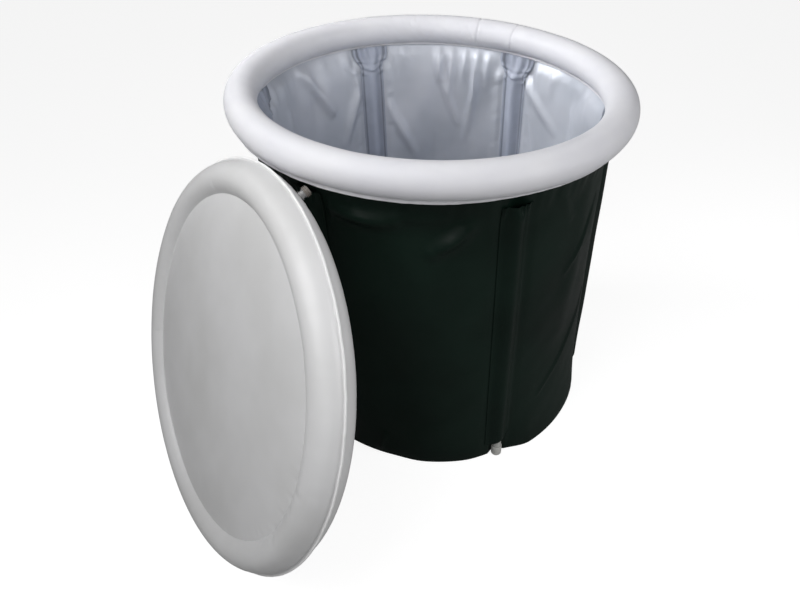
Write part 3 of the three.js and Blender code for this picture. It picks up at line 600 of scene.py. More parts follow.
class Nodes:
    """Short ways to add and link nodes in one tree."""

    def __init__(self, tree):
        self.tree = tree

    def add(self, kind, **values):
        node = self.tree.nodes.new(kind)
        for key, value in values.items():
            setattr(node, key, value)
        return node

    def put(self, socket, value):
        """Links a socket to another one, or sets its value."""
        if isinstance(value, bpy.types.NodeSocket):
            self.tree.links.new(value, socket)
        else:
            socket.default_value = value

    def feed(self, node, **inputs):
        for key, value in inputs.items():
            self.put(node.inputs[key.replace("_", " ")], value)
        return node

    def place(self, kind):
        """The place on a piece, in its own space or on its own map."""
        return self.add("ShaderNodeTexCoord").outputs[kind]

    def shares(self):
        """The shares across and along a piece's own map."""
        return self.feed(self.add("ShaderNodeSeparateXYZ"), Vector=self.place("UV")).outputs

    def noise(self, vector, scale, detail=4.0, roughness=0.55, distortion=0.0):
        node = self.add("ShaderNodeTexNoise")
        return self.feed(node, Vector=vector, Scale=scale, Detail=detail, Roughness=roughness,
                         Distortion=distortion).outputs["Fac"]

    def ranged(self, value, low, high, to_low=0.0, to_high=1.0):
        node = self.add("ShaderNodeMapRange")
        return self.feed(node, Value=value, From_Min=low, From_Max=high, To_Min=to_low,
                         To_Max=to_high).outputs["Result"]

    def math(self, operation, first, second=0.0):
        node = self.add("ShaderNodeMath", operation=operation)
        self.put(node.inputs[0], first)
        self.put(node.inputs[1], second)
        return node.outputs["Value"]

    def mixed(self, factor, first, second):
        node = self.add("ShaderNodeMix", data_type="RGBA")
        for socket, value in ((0, factor), (6, first), (7, second)):
            self.put(node.inputs[socket], value)
        return node.outputs[2]


def group(name, inputs, outputs):
    """A new shader node group. Returns its nodes, what it is given and its output node."""
    tree = bpy.data.node_groups.new(name, "ShaderNodeTree")
    for direction, sockets in (("INPUT", inputs), ("OUTPUT", outputs)):
        for label, kind in sockets.items():
            tree.interface.new_socket(label, in_out=direction, socket_type=f"NodeSocket{kind}")
    nodes = Nodes(tree)
    return nodes, nodes.add("NodeGroupInput").outputs, nodes.add("NodeGroupOutput")


def film_group():
    """Thin film: cloudy colour, uneven gloss, and small wrinkles with a fine grain."""
    if "Film Surface" in bpy.data.node_groups:
        return bpy.data.node_groups["Film Surface"]
    numbers = ("Cloud Scale", "Wrinkle Scale", "Grain Scale", "Gloss Low", "Gloss High")
    inputs = {"Vector": "Vector", "Colour": "Color", "Second Colour": "Color"}
    inputs.update(dict.fromkeys(numbers, "Float"))
    outputs = {"Colour": "Color", "Roughness": "Float", "Height": "Float"}
    nodes, given, output = group("Film Surface", inputs, outputs)
    vector = given["Vector"]
    cloud = nodes.noise(vector, given["Cloud Scale"], 3.0)
    wrinkle = nodes.noise(vector, given["Wrinkle Scale"], 3.0, 0.5, 0.8)
    grain = nodes.noise(vector, given["Grain Scale"], 2.0)
    tint = nodes.mixed(nodes.ranged(cloud, 0.35, 0.65), given["Colour"], given["Second Colour"])
    uneven = nodes.math("ADD", cloud, nodes.math("MULTIPLY", grain, 0.4))
    gloss = nodes.ranged(uneven, 0.5, 0.9, given["Gloss Low"], given["Gloss High"])
    height = nodes.math("ADD", wrinkle, nodes.math("MULTIPLY", grain, 0.12))
    nodes.feed(output, Colour=tint, Roughness=gloss, Height=height)
    return nodes.tree


def weave_group():
    """The scrim that shows through a coated fabric, as a height."""
    if "Coated Weave" in bpy.data.node_groups:
        return bpy.data.node_groups["Coated Weave"]
    inputs = {"Vector": "Vector", "Thread Scale": "Float"}
    nodes, given, output = group("Coated Weave", inputs, {"Height": "Float"})
    waves = []
    for direction in ("X", "Y"):
        wave = nodes.add("ShaderNodeTexWave", wave_type="BANDS", bands_direction=direction)
        nodes.feed(wave, Vector=given["Vector"], Scale=given["Thread Scale"], Distortion=0.6)
        waves.append(wave.outputs["Fac"])
    nodes.feed(output, Height=nodes.math("ADD", *waves))
    return nodes.tree


def material(name):
    """A new material with its nodes and its shader."""
    made = bpy.data.materials.new(name)
    made.use_nodes = True
    return made, Nodes(made.node_tree), made.node_tree.nodes["Principled BSDF"]


def rgba(value, share=1.0):
    """A colour, or a lighter or darker share of it, with its alpha."""
    return (*(share * part for part in value), 1.0)


def film_material(name, first, second, bump, clouds, wrinkles, gloss, grain=900.0, tint=None, relief=None,
                  **sockets):
    """A finish from the shared film group. Tint and relief may change its colour and its height."""
    if name in bpy.data.materials:
        return bpy.data.materials[name]
    made, nodes, shader = material(name)
    film = nodes.add("ShaderNodeGroup", node_tree=film_group())
    nodes.feed(film, Vector=nodes.place("Object"), Colour=first, Second_Colour=second, Cloud_Scale=clouds,
               Wrinkle_Scale=wrinkles, Grain_Scale=grain, Gloss_Low=gloss[0], Gloss_High=gloss[1])
    base = film.outputs["Colour"]
    height = film.outputs["Height"]
    wrinkled = nodes.feed(nodes.add("ShaderNodeBump"), Strength=bump, Distance=BUMP_DISTANCE,
                          Height=relief(nodes, height) if relief else height)
    nodes.feed(shader, Base_Color=tint(nodes, base) if tint else base, Roughness=film.outputs["Roughness"],
               Normal=wrinkled.outputs["Normal"], **sockets)
    return made


def wall_material(colours):
    """Dark coated fabric: a faint scrim, cloudy patches of painted sheen and soft creases under a satin coat.
    """

    def woven(nodes, height):
        cloth = nodes.feed(nodes.add("ShaderNodeMapping"), Vector=nodes.place("UV"), Scale=(2.19, 0.66, 1.0))
        weave = nodes.add("ShaderNodeGroup", node_tree=weave_group())
        nodes.feed(weave, Vector=cloth.outputs["Vector"], Thread_Scale=230.0)
        return nodes.math("ADD", height, nodes.math("MULTIPLY", weave.outputs["Height"], 0.03))

    # The second colour is painted sheen, spread in cloudy patches over the fabric
    return film_material("wall_fabric_finish", rgba(colours.wall), rgba(colours.wall_painted_sheen), bump=0.22,
                         clouds=4.0, wrinkles=16.0, gloss=(0.32, 0.48), grain=700.0, relief=woven,
                         Specular_IOR_Level=0.145)


def liner_material(colours):
    """Silvery film with a slightly metallic sheen."""
    return film_material("liner_finish", rgba(colours.liner), rgba(colours.liner_light), bump=0.35,
                         clouds=5.0, wrinkles=22.0, gloss=(0.4, 0.54), Metallic=0.25, Specular_IOR_Level=0.35)


def strip_material(colours):
    """Clear film with darker welds along both edges and a painted highlight down the ridge in its middle,
    from the strip's own map.
    """

    def welded(nodes, base):
        away = nodes.math("ABSOLUTE", nodes.math("SUBTRACT", nodes.shares()["X"], 0.5))
        line = nodes.math("ABSOLUTE", nodes.math("SUBTRACT", away, 0.4))
        dark = nodes.mixed(nodes.ranged(line, 0.02, 0.055, 0.75, 0.0), base, rgba(colours.strip, 0.5))
        # Painted highlight: the middle over the pole's ridge is coloured lighter, as if its crest caught the
        # light
        return nodes.mixed(nodes.ranged(away, 0.05, 0.2, 0.45, 0.0), dark, rgba(colours.strip, 1.35))

    return film_material("clear_strip_finish", rgba(colours.strip), rgba(colours.strip, 1.15), bump=0.3,
                         clouds=14.0, wrinkles=45.0, gloss=(0.3, 0.45), tint=welded, Alpha=0.86,
                         Specular_IOR_Level=0.35)


def ring_material(colours):
    """White film, lit through by the air inside."""
    return film_material("ring_finish", rgba(colours.ring), rgba(colours.ring_shade), bump=0.12, clouds=9.0,
                         wrinkles=40.0, gloss=(0.42, 0.55), Subsurface_Weight=0.55, Subsurface_Scale=0.03,
                         Subsurface_Radius=(1.0, 1.0, 1.0), Specular_IOR_Level=0.35)


def lid_material(colours):
    """White film, with a painted highlight that colours the weld seam whiter, from the film's own map."""

    def seam_highlighted(nodes, base):
        # Painted highlight along the weld seam at the outer edge of the film's map
        return nodes.mixed(nodes.ranged(nodes.shares()["Y"], 0.982, 0.99), base, rgba(colours.lid_seam))

    return film_material("lid_finish", rgba(colours.lid), rgba(colours.lid_shade), bump=0.12, clouds=5.0,
                         wrinkles=26.0, gloss=(0.36, 0.5), tint=seam_highlighted)


def moulded_material(name, tint, gloss, **sockets):
    """Moulded plastic, rubber or foam: a fine grain and slightly uneven colour."""
    return film_material(name, rgba(tint), rgba(tint, 0.9), bump=0.08, clouds=40.0, wrinkles=220.0,
                         gloss=(gloss - 0.05, gloss + 0.08), **sockets)


def foam_material(colours):
    return moulded_material("foam_finish", colours.foam, 0.85)


def plastic_material(colours):
    return moulded_material("white_plastic_finish", colours.plastic, 0.4)


def current():
    """The scene's sizes, colours and working lines."""
    scene = bpy.context.scene
    return scene.tub_sizes, scene.tub_colours, TubShape(scene.tub_sizes)


class TUB_OT_outer_wall(bpy.types.Operator):
    """Adds the dark wall with its soft folds, and the base under it"""

    bl_idname = "tub.outer_wall"
    bl_label = "Outer Wall"

    def execute(self, context):
        sizes, colours, lines = current()

        def padding(across, along):
            bearing = 360 * across
            height = lines.risen(lines.wall_bottom, along)
            return lines.on_wall(bearing, lines.foam - lines.dent(bearing, height), height)

        def cloth(across, along):
            bearing = np.interp(across, WALL_SHARES, WALL_BEARINGS)
            height = lines.risen(lines.wall_bottom, along)
            radius = lines.wall - lines.dent(bearing, height)
            radius += lines.wall_slack(bearing, height) + lines.spread(bearing, height)
            return lines.on_wall(bearing, radius, height)

        foam = sheet_piece("foam_sleeve", 216, 30, padding, sizes.wall_foam)
        dressed(foam, "tub", "foam", foam_material(colours), "wall_foam")
        wall = sheet_piece("wall_sleeve", 480, 98, cloth, sizes.wall_sheet)
        dressed(wall, "tub", "wall_fabric", wall_material(colours), "outer_wall")
        disc = lines.disc(lines.wall, sizes.base_sheet, spread_share=1)
        base = sheet_piece("base_disc", 216, 14, disc, sizes.base_sheet, flips=True)
        dressed(base, "tub", "wall_fabric", wall_material(colours), "base_panel")
        return {"FINISHED"}


class TUB_OT_pole_pockets(bpy.types.Operator):
    """Adds the welded pockets that hold the poles on the outside of the wall"""

    bl_idname = "tub.pole_pockets"
    bl_label = "Pole Pockets"

    def execute(self, context):
        sizes, colours, lines = current()
        sway, pleat, weld, hem = 0.0006, 0.0036, 0.00035, 0.0009
        for index, middle in enumerate(lines.pole_bearings):

            def shape(across, along, middle=middle, index=index):
                offset = (2 * across - 1) * lines.pocket_half
                side = np.clip(offset / lines.ridge_half, -1, 1)
                mouth = sizes.pocket_mouth + sizes.pocket_slant * side
                height = mouth + (lines.pocket_top - mouth) * along
                above = height - lines.pole_top
                full = 1 - 0.7 * smooth(above / sizes.pocket_flap)
                out = lines.bulge * swell(across) * full
                out += sway * (1 + ripple(300 * height + 40 * index, (3, 5, 8), 1.0)) * (1 - side ** 2)
                pleats = swell(4 * across + 0.3 * np.sin(9 * across))
                out += pleat * pleats * smooth(above / (0.8 * sizes.pocket_flap))
                edge = np.radians(lines.pocket_half - np.abs(offset)) * lines.wall
                out += weld * (hump(edge - 0.0012, 0.0009) + hump(edge - 0.0048, 0.0009))
                out += hem * hump((height - mouth) - 0.003, 0.002)
                out += lines.flare(height) + lines.spread(middle + offset, height)
                radius = lines.wall + sizes.sheet_gap + sizes.wall_sheet + out
                return lines.on_wall(middle + offset, radius, height)

            pocket = sheet_piece(f"pocket_{index + 1}", 56, 90, shape, sizes.wall_sheet, closes=False)
            dressed(pocket, "tub", "wall_fabric", wall_material(colours), f"pole_pocket_{index + 1}")
        return {"FINISHED"}


class TUB_OT_poles(bpy.types.Operator):
    """Adds the poles and their feet"""

    bl_idname = "tub.poles"
    bl_label = "Poles and Feet"

    def execute(self, context):
        sizes, colours, lines = current()
        socket = lines.pole + sizes.sheet_gap
        bore = sizes.pole_bore / 2
        bottom = sizes.foot_sole + sizes.sheet_gap
        plug_head = 0.004
        round_off = 0.003
        foot = [(0, 0), (lines.foot - round_off, 0)]
        for step in range(1, 5):
            turn = math.radians(90 * step / 5)
            foot.append((lines.foot - round_off * (1 - math.sin(turn)), round_off * (1 - math.cos(turn))))
        foot += banded((lines.foot, round_off, sizes.foot_height),
                       (socket, sizes.foot_height, sizes.foot_sole))
        foot.append((0, sizes.foot_sole))
        for number, (place, reach) in enumerate(lines.pole_frames(), 1):
            top = reach - plug_head - sizes.sheet_gap
            tube = [(bore, bottom), (lines.pole, bottom), (lines.pole, top), (bore, top)]
            pole = turned_piece(f"pole_tube_{number}", tube, 40, place)
            dressed(pole, "tub", "pole_tube", plastic_material(colours), f"pole_{number}")
            cap = turned_piece(f"foot_cap_{number}", foot, 48, place)
            ribbed(cap, place, low=0.006, high=0.022, radius=lines.foot - 0.0002, count=24, depth=0.0005)
            dressed(cap, "tub", "foot_plastic", plastic_material(colours), f"pole_foot_{number}")
        return {"FINISHED"}


class TUB_OT_liner(bpy.types.Operator):
    """Adds the silvery liner with its pleats, swags and floor"""

    bl_idname = "tub.liner"
    bl_label = "Liner"

    def execute(self, context):
        sizes, colours, lines = current()

        def film(across, along):
            bearing = 360 * across
            height = lines.risen(lines.liner_bottom, along)
            radius = lines.liner - lines.dent(bearing, height) - lines.liner_slack(bearing, height)
            return lines.on_wall(bearing, radius, height)

        liner = sheet_piece("liner_sleeve", 480, 84, film, sizes.liner_sheet)
        dressed(liner, "tub", "liner_film", liner_material(colours), "liner_wall")
        disc = lines.disc(lines.liner, sizes.floor_height + sizes.liner_sheet)
        floor = sheet_piece("liner_disc", 216, 20, disc, sizes.liner_sheet, flips=True)
        dressed(floor, "tub", "liner_film", liner_material(colours), "liner_floor")
        return {"FINISHED"}


class TUB_OT_liner_strips(bpy.types.Operator):
    """Adds the clear strips welded over the pole ridges inside the liner"""

    bl_idname = "tub.liner_strips"
    bl_label = "Liner Strips"

    def execute(self, context):
        sizes, colours, lines = current()
        weld, sway, pleat, knot, upper_roll, lower_roll = 0.0007, 0.0009, 0.006, 0.0065, 0.005, 0.004
        for index, middle in enumerate(lines.pole_bearings):

            def shape(across, along, middle=middle, index=index):
                share = 2 * across - 1
                offset = share * lines.pocket_half
                height = lines.risen(lines.liner_bottom, along)
                edge = np.radians(lines.pocket_half - np.abs(offset)) * lines.strip
                inward = weld * (hump(edge - 0.0015, 0.001) + hump(edge - 0.0055, 0.001))
                uneven = 1 + ripple(360 * height + 50 * index, (2, 5, 9), 2.0)
                inward += sway * lines.ridge(middle + offset) * uneven
                above = smooth((height - sizes.knot_height) / 0.036)
                inward += pleat * swell(3.5 * across + 0.25 * np.sin(40 * height)) * above
                from_bow = height - sizes.knot_height - 0.007 * share ** 2
                inward += knot * hump(from_bow, 0.005) * (1 - 0.6 * share ** 2)
                inward += upper_roll * hump(from_bow - 0.013, 0.004) * (0.4 + 0.5 * share ** 2)
                inward += lower_roll * hump(from_bow + 0.014, 0.005) * np.abs(share)
                bearing = middle + offset * (1 + 0.5 * above - 0.06 * hump(height - sizes.knot_height, 0.01))
                return lines.on_wall(bearing, lines.strip - lines.dent(bearing, height) - inward, height)

            strip = sheet_piece(f"clear_strip_{index + 1}", 48, 200, shape, sizes.liner_sheet, closes=False)
            dressed(strip, "tub", "clear_strip", strip_material(colours), f"liner_strip_{index + 1}")
        return {"FINISHED"}


class TUB_OT_air_ring(bpy.types.Operator):
    """Adds the blown-up ring with its cross welds, wrinkles and weld fins"""

    bl_idname = "tub.air_ring"
    bl_label = "Air Ring"

    def relief(self, sizes, bearing, angle, reach):
        """How far the film stands out. Angle runs round the tube, from its outside over its top."""
        wrinkle, sag, pucker, seam_edge, seam_depth = 0.0006, 0.0005, 0.0005, 0.0007, 0.0028
        crease_start, crease_span = 160.5, 39
        inner = smooth((np.abs(angle) - 95) / 45)
        uneven = np.clip(0.55 + 0.6 * ripple(bearing, (3, 7, 11), 2.0), 0, 1)
        wrinkles = ripple(bearing + 0.06 * angle, (97, 131, 168), 6.0)
        out = wrinkle * wrinkles * inner * (0.3 * uneven + 0.8 * hump(np.mod(bearing, 360) - 180, 34))
        for index in range(RING_CREASES):
            crease = crease_start + crease_span * scattered(index, 0.618, 0.1)
            away = np.radians(bearing - crease - 0.01 * (angle - 110)) * reach
            window = smooth((angle - 55 - 30 * scattered(index, 0.37)) / 25)
            window *= smooth((176 - 25 * scattered(index, 0.71) - angle) / 20)
            out -= (0.0003 + 0.0008 * scattered(index, 0.53)) * hump(away, 0.0014) * window
        out += sag * ripple(bearing, (5, 9, 14), 3.0)
        at_fins = hump(angle + sizes.fin_angle, 16) + hump(angle + 180 - sizes.fin_angle, 16)
        out += pucker * ripple(bearing, (61, 89, 127), 7.0) * at_fins
        around = np.mod(angle, 360)
        window = smooth((around - 20) / 20) * smooth((225 - around) / 15)
        for seam in RING_SEAMS:
            away = np.radians(bearing - seam) * reach
            edges = seam_edge * hump(np.abs(away) - 0.004, 0.0022)
            out += window * (edges - seam_depth * hump(away, 0.0014))
        on_crown = smooth((75 - np.abs(angle - 90)) / 20)
        return out - np.maximum(out, 0) * on_crown

    def execute(self, context):
        sizes, colours, lines = current()
        ring = added("ring_tube", bpy.ops.mesh.primitive_torus_add, major_segments=720, minor_segments=60,
                     major_radius=lines.ring, minor_radius=lines.tube)
        points = places(ring)
        reach = np.hypot(points[:, 0], points[:, 1])
        bearing = np.mod(np.degrees(np.arctan2(points[:, 0], -points[:, 1])), 360)
        bearing = np.interp(bearing, RING_EVEN, RING_BEARINGS)
        angle = np.degrees(np.arctan2(points[:, 2], reach - lines.ring))
        out = self.relief(sizes, bearing, angle, reach)
        radius = reach + out * np.cos(np.radians(angle))
        points[:, 0] = radius * np.sin(np.radians(bearing)) + sizes.ring_offset
        points[:, 1] = -radius * np.cos(np.radians(bearing))
        points[:, 2] += out * np.sin(np.radians(angle)) + lines.ring_height
        moved(ring, points)
        only(ring)
        bpy.ops.object.shade_smooth()
        dressed(ring, "tub", "ring_film", ring_material(colours), "ring_upper_film", "ring_lower_film")
        fin_sheet, tuck = 0.0018, 0.001
        for name, weld in (("ring_outer_fin", -sizes.fin_angle), ("ring_inner_fin", sizes.fin_angle - 180)):

            def shape(across, along, name=name, weld=weld):
                bearing = 360 * across
                wave = ripple(bearing, (37, 53, 84, 119), weld)
                past = np.mod(bearing + 150, 360)
                shown = smooth((past - 65) / 25) * smooth((178 - past) / 28)
                width = sizes.ring_fin * (0.24 + 0.34 * (shown if name == "ring_outer_fin" else 0.45))
                tilt = np.radians(weld + 1.2 * wave * along)
                reach = lines.tube - tuck + (tuck + width + 0.0003 * wave) * along
                turn = np.radians(bearing)
                radius = lines.ring + reach * np.cos(tilt)
                height = lines.ring_height + reach * np.sin(tilt)
                x = sizes.ring_offset + radius * np.sin(turn)
                return np.stack([x, -radius * np.cos(turn), height], axis=-1)

            fin = sheet_piece(name, 540, 5, shape, fin_sheet, offset=0)
            dressed(fin, "tub", "ring_film", ring_material(colours))
        return {"FINISHED"}


class TUB_OT_lid(bpy.types.Operator):
    """Adds the blown-up lid: a puffed rim, a circular weld, a crowned middle and a wavy weld seam"""

    bl_idname = "tub.lid"
    bl_label = "Lid"

    def execute(self, context):
        sizes, colours, lines = current()
        section, weld_radius = lines.lid_section()
        steps = np.hypot(*np.diff(section, axis=1))
        rim_weight = 3.2
        weight = np.where(section[0, 1:] > weld_radius - 0.012, rim_weight, 1.0)
        shares = np.concatenate([[0], np.cumsum(steps * weight)])
        shares = shares / shares[-1]
        turn_of_lid = np.array(lines.lid_frame().to_3x3())
        seam_wave, edge_wave = 0.0005, 0.0002
        films = (("lid_face", 1, 1.0, "lid_front_film"), ("lid_underside", -1, 2.0, "lid_back_film"))
        for name, sign, seed, node in films:

            def shape(across, along, sign=sign, seed=seed):
                angle = 360 * across
                radius = np.interp(along, shares, section[0])
                height = np.interp(along, shares, section[1])
                height -= lines.lid_dip(angle, radius, weld_radius, seed)
                from_edge = radius - lines.lid_edge
                wave = seam_wave * ripple(angle, (31, 47, 68, 97), 9.0)
                lift = wave * smooth((from_edge + sizes.lid_flange + 0.003) / 0.005)
                height = sign * np.maximum(height, lines.lid_seam) + lift
                at_edge = smooth((from_edge + 0.003) / 0.003)
                radius += edge_wave * ripple(angle, (23, 59, 101), 8.0) * at_edge
                turn = np.radians(angle)
                own = np.stack([radius * np.cos(turn), radius * np.sin(turn), height], axis=-1)
                return own @ turn_of_lid.T + np.array(sizes.lid_centre)

            skin = sheet_piece(name, 400, 78, shape, sizes.lid_sheet, flips=sign > 0)
            dressed(skin, "lid", "lid_film", lid_material(colours), node)
        return {"FINISHED"}


class TUB_OT_valves(bpy.types.Operator):
    """Adds the clear inflation valves of the lid and the ring with their push-in caps"""

    bl_idname = "tub.valves"
    bl_label = "Valves"

    def lid_seat(self, sizes, lines):
        """The frame of the lid's valve, on the back of its rim."""
        tilt = math.radians(sizes.lid_valve_tilt)
        turn = math.radians(sizes.lid_valve_angle)
        section = math.atan2(lines.lid_half * math.cos(tilt), lines.lid_half_rim * math.sin(tilt))
        edgewards = Vector((math.cos(turn), math.sin(turn), 0))
        back = Vector((0, 0, -1))
        place = edgewards * (lines.lid_rim_middle + lines.lid_half_rim * math.cos(section))
        place += back * lines.lid_half * math.sin(section)
        return lines.lid_frame() @ aimed(place, edgewards * math.sin(tilt) + back * math.cos(tilt))

    def ring_seat(self, sizes, lines):
        """The frame of the ring's valve, on its outside."""
        middle = Vector((sizes.ring_offset, 0, lines.ring_height))
        direction = outward(sizes.ring_valve)
        return aimed(middle + direction * (lines.ring + lines.tube), direction)

    def execute(self, context):
        sizes, colours, lines = current()
        stem, bore, lip, flange, collar, gap = 0.0065, 0.004, 0.00775, 0.011, 0.0083, 0.0003
        bottom, mouth, bevel = -0.01, 0.009, 0.0002
        body = [(bore, bottom)]
        body += banded((flange, bottom, -0.0085), (stem, -0.0085, 0.0012), (collar, 0.0012, 0.0026),
                       (stem, 0.0026, 0.0074), (lip, 0.0074, mouth))
        body.append((bore, mouth))
        low = mouth + gap
        grip, groove = 0.0095, 0.0078
        cap = [(0, low - 0.005), (bore - gap, low - 0.005), (bore - gap, low), (0.0088, low)]
        for level in (low + 0.0004, low + 0.0031, low + 0.0058):
            cap += banded((grip, level, level + 0.0011), (groove, level + 0.0015, level + 0.0021))
        cap += [(0.0066, low + 0.0082), (0.006, low + 0.009), (0, low + 0.009)]
        clear = moulded_material("clear_plastic_finish", colours.clear, 0.2, Transmission_Weight=0.55)
        brown = moulded_material("valve_cap_finish", colours.cap, 0.25, Transmission_Weight=0.25)
        seats = (("lid", self.lid_seat(sizes, lines), "lid", "lid_cap"),
                 ("ring", self.ring_seat(sizes, lines), "tub", "ring_cap"))
        for name, place, body_name, cap_body in seats:
            seat = turned_piece(f"{name}_valve_stem", body, 40, place, bevel)
            dressed(seat, body_name, "clear_plastic", clear, f"{name}_valve_body")
            plug = turned_piece(f"{name}_valve_plug", cap, 96, place, bevel)
            dressed(plug, cap_body, "clear_plastic", brown, f"{name}_valve_cap")
        return {"FINISHED"}


class TUB_OT_drain(bpy.types.Operator):
    """Adds the drain's outlet and its ribbed cap"""

    bl_idname = "tub.drain"
    bl_label = "Drain"

    def execute(self, context):
        sizes, colours, lines = current()
        seat = Vector(lines.on_wall(sizes.drain_bearing, lines.wall, sizes.drain_height).tolist())
        place = aimed(seat, outward(sizes.drain_bearing))
        gap = sizes.sheet_gap
        bore, pipe, root, groove, thread, flange = 0.006, 0.008, 0.0083, 0.0086, 0.009, 0.016
        washer, nut, thread_spare, flange_height, spout_length = 0.0025, 0.008, 0.003, 0.003, 0.024
        turns, blunt = 12, 0.0005
        depth = lines.wall - lines.liner + sizes.liner_sheet
        thread_end = -depth - washer - gap - nut - thread_spare
        face = washer + gap
        spout = face + flange_height
        end = spout + spout_length
        body = [(bore, thread_end), (root, thread_end)]
        for index in range(turns):
            level = thread_end + blunt + (face - thread_end - 2 * blunt) * index / turns
            body += [(thread, level), (groove, level + 0.0004)]
        body += [(thread, face), (flange - blunt, face), (flange, face + blunt), (flange, spout - 0.0006),
                 (flange - 0.0006, spout), (pipe, spout), (pipe, end), (bore, end)]
        outlet = turned_piece("drain_outlet", body, 48, place, bevel=0)
        dressed(outlet, "tub", "drain_plastic", plastic_material(colours), "drain_body")
        hem, side = 0.0105, 0.01045
        inside = end + gap
        skirt = inside - 0.018
        top = inside + 0.003
        cap = [(0, inside)]
        cap += banded((pipe + gap, inside, skirt), (hem, skirt, skirt + 0.0012),
                      (side, skirt + 0.0013, top - 0.0022))
        cap += [(0.0102, top - 0.0012), (0.0094, top - 0.0004), (0.0084, top), (0, top)]
        plug = turned_piece("drain_plug_cap", cap, 120, place, bevel=0)
        ribbed(plug, place, low=skirt + 0.00125, high=top - 0.0015, radius=0.0101, count=20, depth=0.0005)
        dressed(plug, "drain_plug", "drain_plastic", plastic_material(colours), "drain_cap")
        return {"FINISHED"}


class TUB_OT_hidden_fittings(bpy.types.Operator):
    """Gives the carried-over fittings and inner layers their finish"""

    bl_idname = "tub.hidden_fittings"
    bl_label = "Hidden Fittings"

    def execute(self, context):
        sizes, colours, _ = current()
        rubber = moulded_material("washer_finish", colours.rubber, 0.75)
        plastic = plastic_material(colours)
        finishes = {"base_foam": foam_material(colours), "lid_inner_band": lid_material(colours),
                    "drain_outer_washer": rubber, "drain_inner_washer": rubber, "drain_nut": plastic}
        for number in range(1, sizes.pole_count + 1):
            finishes[f"pole_plug_{number}"] = plastic
        for node, finish in finishes.items():
            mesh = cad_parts[node].data
            mesh.materials.clear()
            mesh.materials.append(finish)
        return {"FINISHED"}


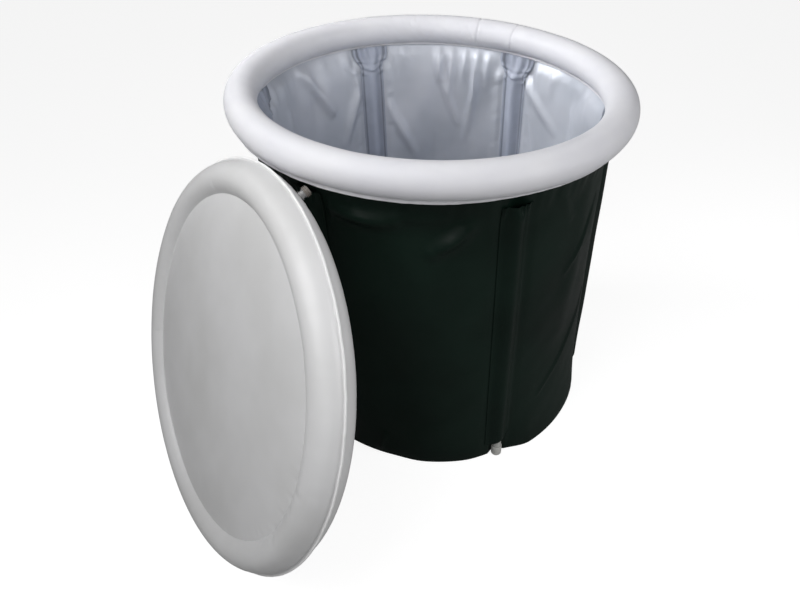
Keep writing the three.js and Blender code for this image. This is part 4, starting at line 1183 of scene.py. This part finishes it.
class TUB_OT_stage(bpy.types.Operator):
    """Adds the pale floor, the soft lights and the camera"""

    bl_idname = "tub.stage"
    bl_label = "Stage"

    def execute(self, context):
        scene = context.scene
        stage = scene.tub_stage
        scene.view_settings.view_transform = "Standard"
        floor = added("studio_floor", bpy.ops.mesh.primitive_plane_add, size=24, location=(0, 0, -0.0006))
        floor.data.materials.append(self.floor_finish(scene.tub_colours))
        floor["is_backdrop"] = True
        for side, place, target, size, spread in LAMPS:
            lamp = added(f"{side}_light", bpy.ops.object.light_add, type="AREA", location=place)
            lamp.data.shape = "SQUARE"
            lamp.data.size = size
            lamp.data.energy = getattr(stage, side)
            lamp.data.spread = math.radians(spread)
            lamp.rotation_euler = (Vector(place) - Vector(target)).to_track_quat("Z", "Y").to_euler()
        scene.world = self.sky(stage)
        camera = added("photo_camera", bpy.ops.object.camera_add, location=stage.camera_place)
        turn = Matrix.Rotation(math.radians(stage.camera_yaw), 3, "Z")
        turn = turn @ Matrix.Rotation(math.radians(90 - stage.camera_pitch), 3, "X")
        turn = turn @ Matrix.Rotation(math.radians(stage.camera_roll), 3, "Z")
        camera.rotation_euler = turn.to_euler()
        camera.data.sensor_width = 36
        camera.data.lens = stage.camera_lens
        camera.data.clip_start = 0.02
        scene.camera = camera
        return {"FINISHED"}

    def floor_finish(self, colours):
        """A pale floor that keeps shadows and looks white to the camera."""
        made, nodes, shader = material("floor_finish")
        cloud = nodes.ranged(nodes.noise(nodes.place("Object"), 2.0), 0.3, 0.7)
        tint = nodes.mixed(cloud, rgba(colours.floor), rgba(colours.floor, 0.985))
        nodes.feed(shader, Base_Color=tint, Roughness=0.8, Specular_IOR_Level=0.1)
        seen = nodes.add("ShaderNodeLightPath").outputs["Is Camera Ray"]
        glow = nodes.feed(nodes.add("ShaderNodeEmission"), Strength=nodes.math("MULTIPLY", seen, FLOOR_GLOW))
        both = nodes.add("ShaderNodeAddShader")
        nodes.put(both.inputs[0], shader.outputs["BSDF"])
        nodes.put(both.inputs[1], glow.outputs["Emission"])
        nodes.feed(made.node_tree.nodes["Material Output"], Surface=both.outputs["Shader"])
        return made

    def sky(self, stage):
        """Even light all round, white where it is looked at directly."""
        world = bpy.data.worlds.new("studio_sky")
        world.use_nodes = True
        nodes = Nodes(world.node_tree)
        path = nodes.add("ShaderNodeLightPath")
        seen = nodes.math("MAXIMUM", path.outputs["Is Camera Ray"], path.outputs["Is Transmission Ray"])
        nodes.feed(world.node_tree.nodes["Background"], Color=(1, 1, 1, 1),
                   Strength=nodes.ranged(seen, 0.0, 1.0, stage.sky, 1.0))
        return world


class TUB_PT_panel(bpy.types.Panel):
    """Lists the tub's pieces in the order they are made"""

    bl_idname = "TUB_PT_panel"
    bl_label = "Cold Plunge Tub"
    bl_space_type = "VIEW_3D"
    bl_region_type = "UI"
    bl_category = "Tub"

    def draw(self, context):
        for operator in OPERATORS:
            self.layout.operator(operator.bl_idname)


OPERATORS = (
    TUB_OT_outer_wall,
    TUB_OT_pole_pockets,
    TUB_OT_poles,
    TUB_OT_liner,
    TUB_OT_liner_strips,
    TUB_OT_air_ring,
    TUB_OT_lid,
    TUB_OT_valves,
    TUB_OT_drain,
    TUB_OT_hidden_fittings,
    TUB_OT_stage,
)
CLASSES = (TubSizes, TubColours, StageSettings, *OPERATORS, TUB_PT_panel)


def register():
    for item in CLASSES:
        bpy.utils.register_class(item)
    bpy.types.Scene.tub_sizes = PointerProperty(type=TubSizes)
    bpy.types.Scene.tub_colours = PointerProperty(type=TubColours)
    bpy.types.Scene.tub_stage = PointerProperty(type=StageSettings)


def unregister():
    del bpy.types.Scene.tub_stage
    del bpy.types.Scene.tub_colours
    del bpy.types.Scene.tub_sizes
    for item in reversed(CLASSES):
        bpy.utils.unregister_class(item)


def main():
    register()
    bpy.ops.tub.outer_wall()
    bpy.ops.tub.pole_pockets()
    bpy.ops.tub.poles()
    bpy.ops.tub.liner()
    bpy.ops.tub.liner_strips()
    bpy.ops.tub.air_ring()
    bpy.ops.tub.lid()
    bpy.ops.tub.valves()
    bpy.ops.tub.drain()
    bpy.ops.tub.hidden_fittings()
    bpy.ops.tub.stage()
    boxes = {"cad": CAD_BOX, "visual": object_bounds()}
    plain = {key: [[float(number) for number in corner] for corner in box] for key, box in boxes.items()}


if __name__ == "__main__":
    main()
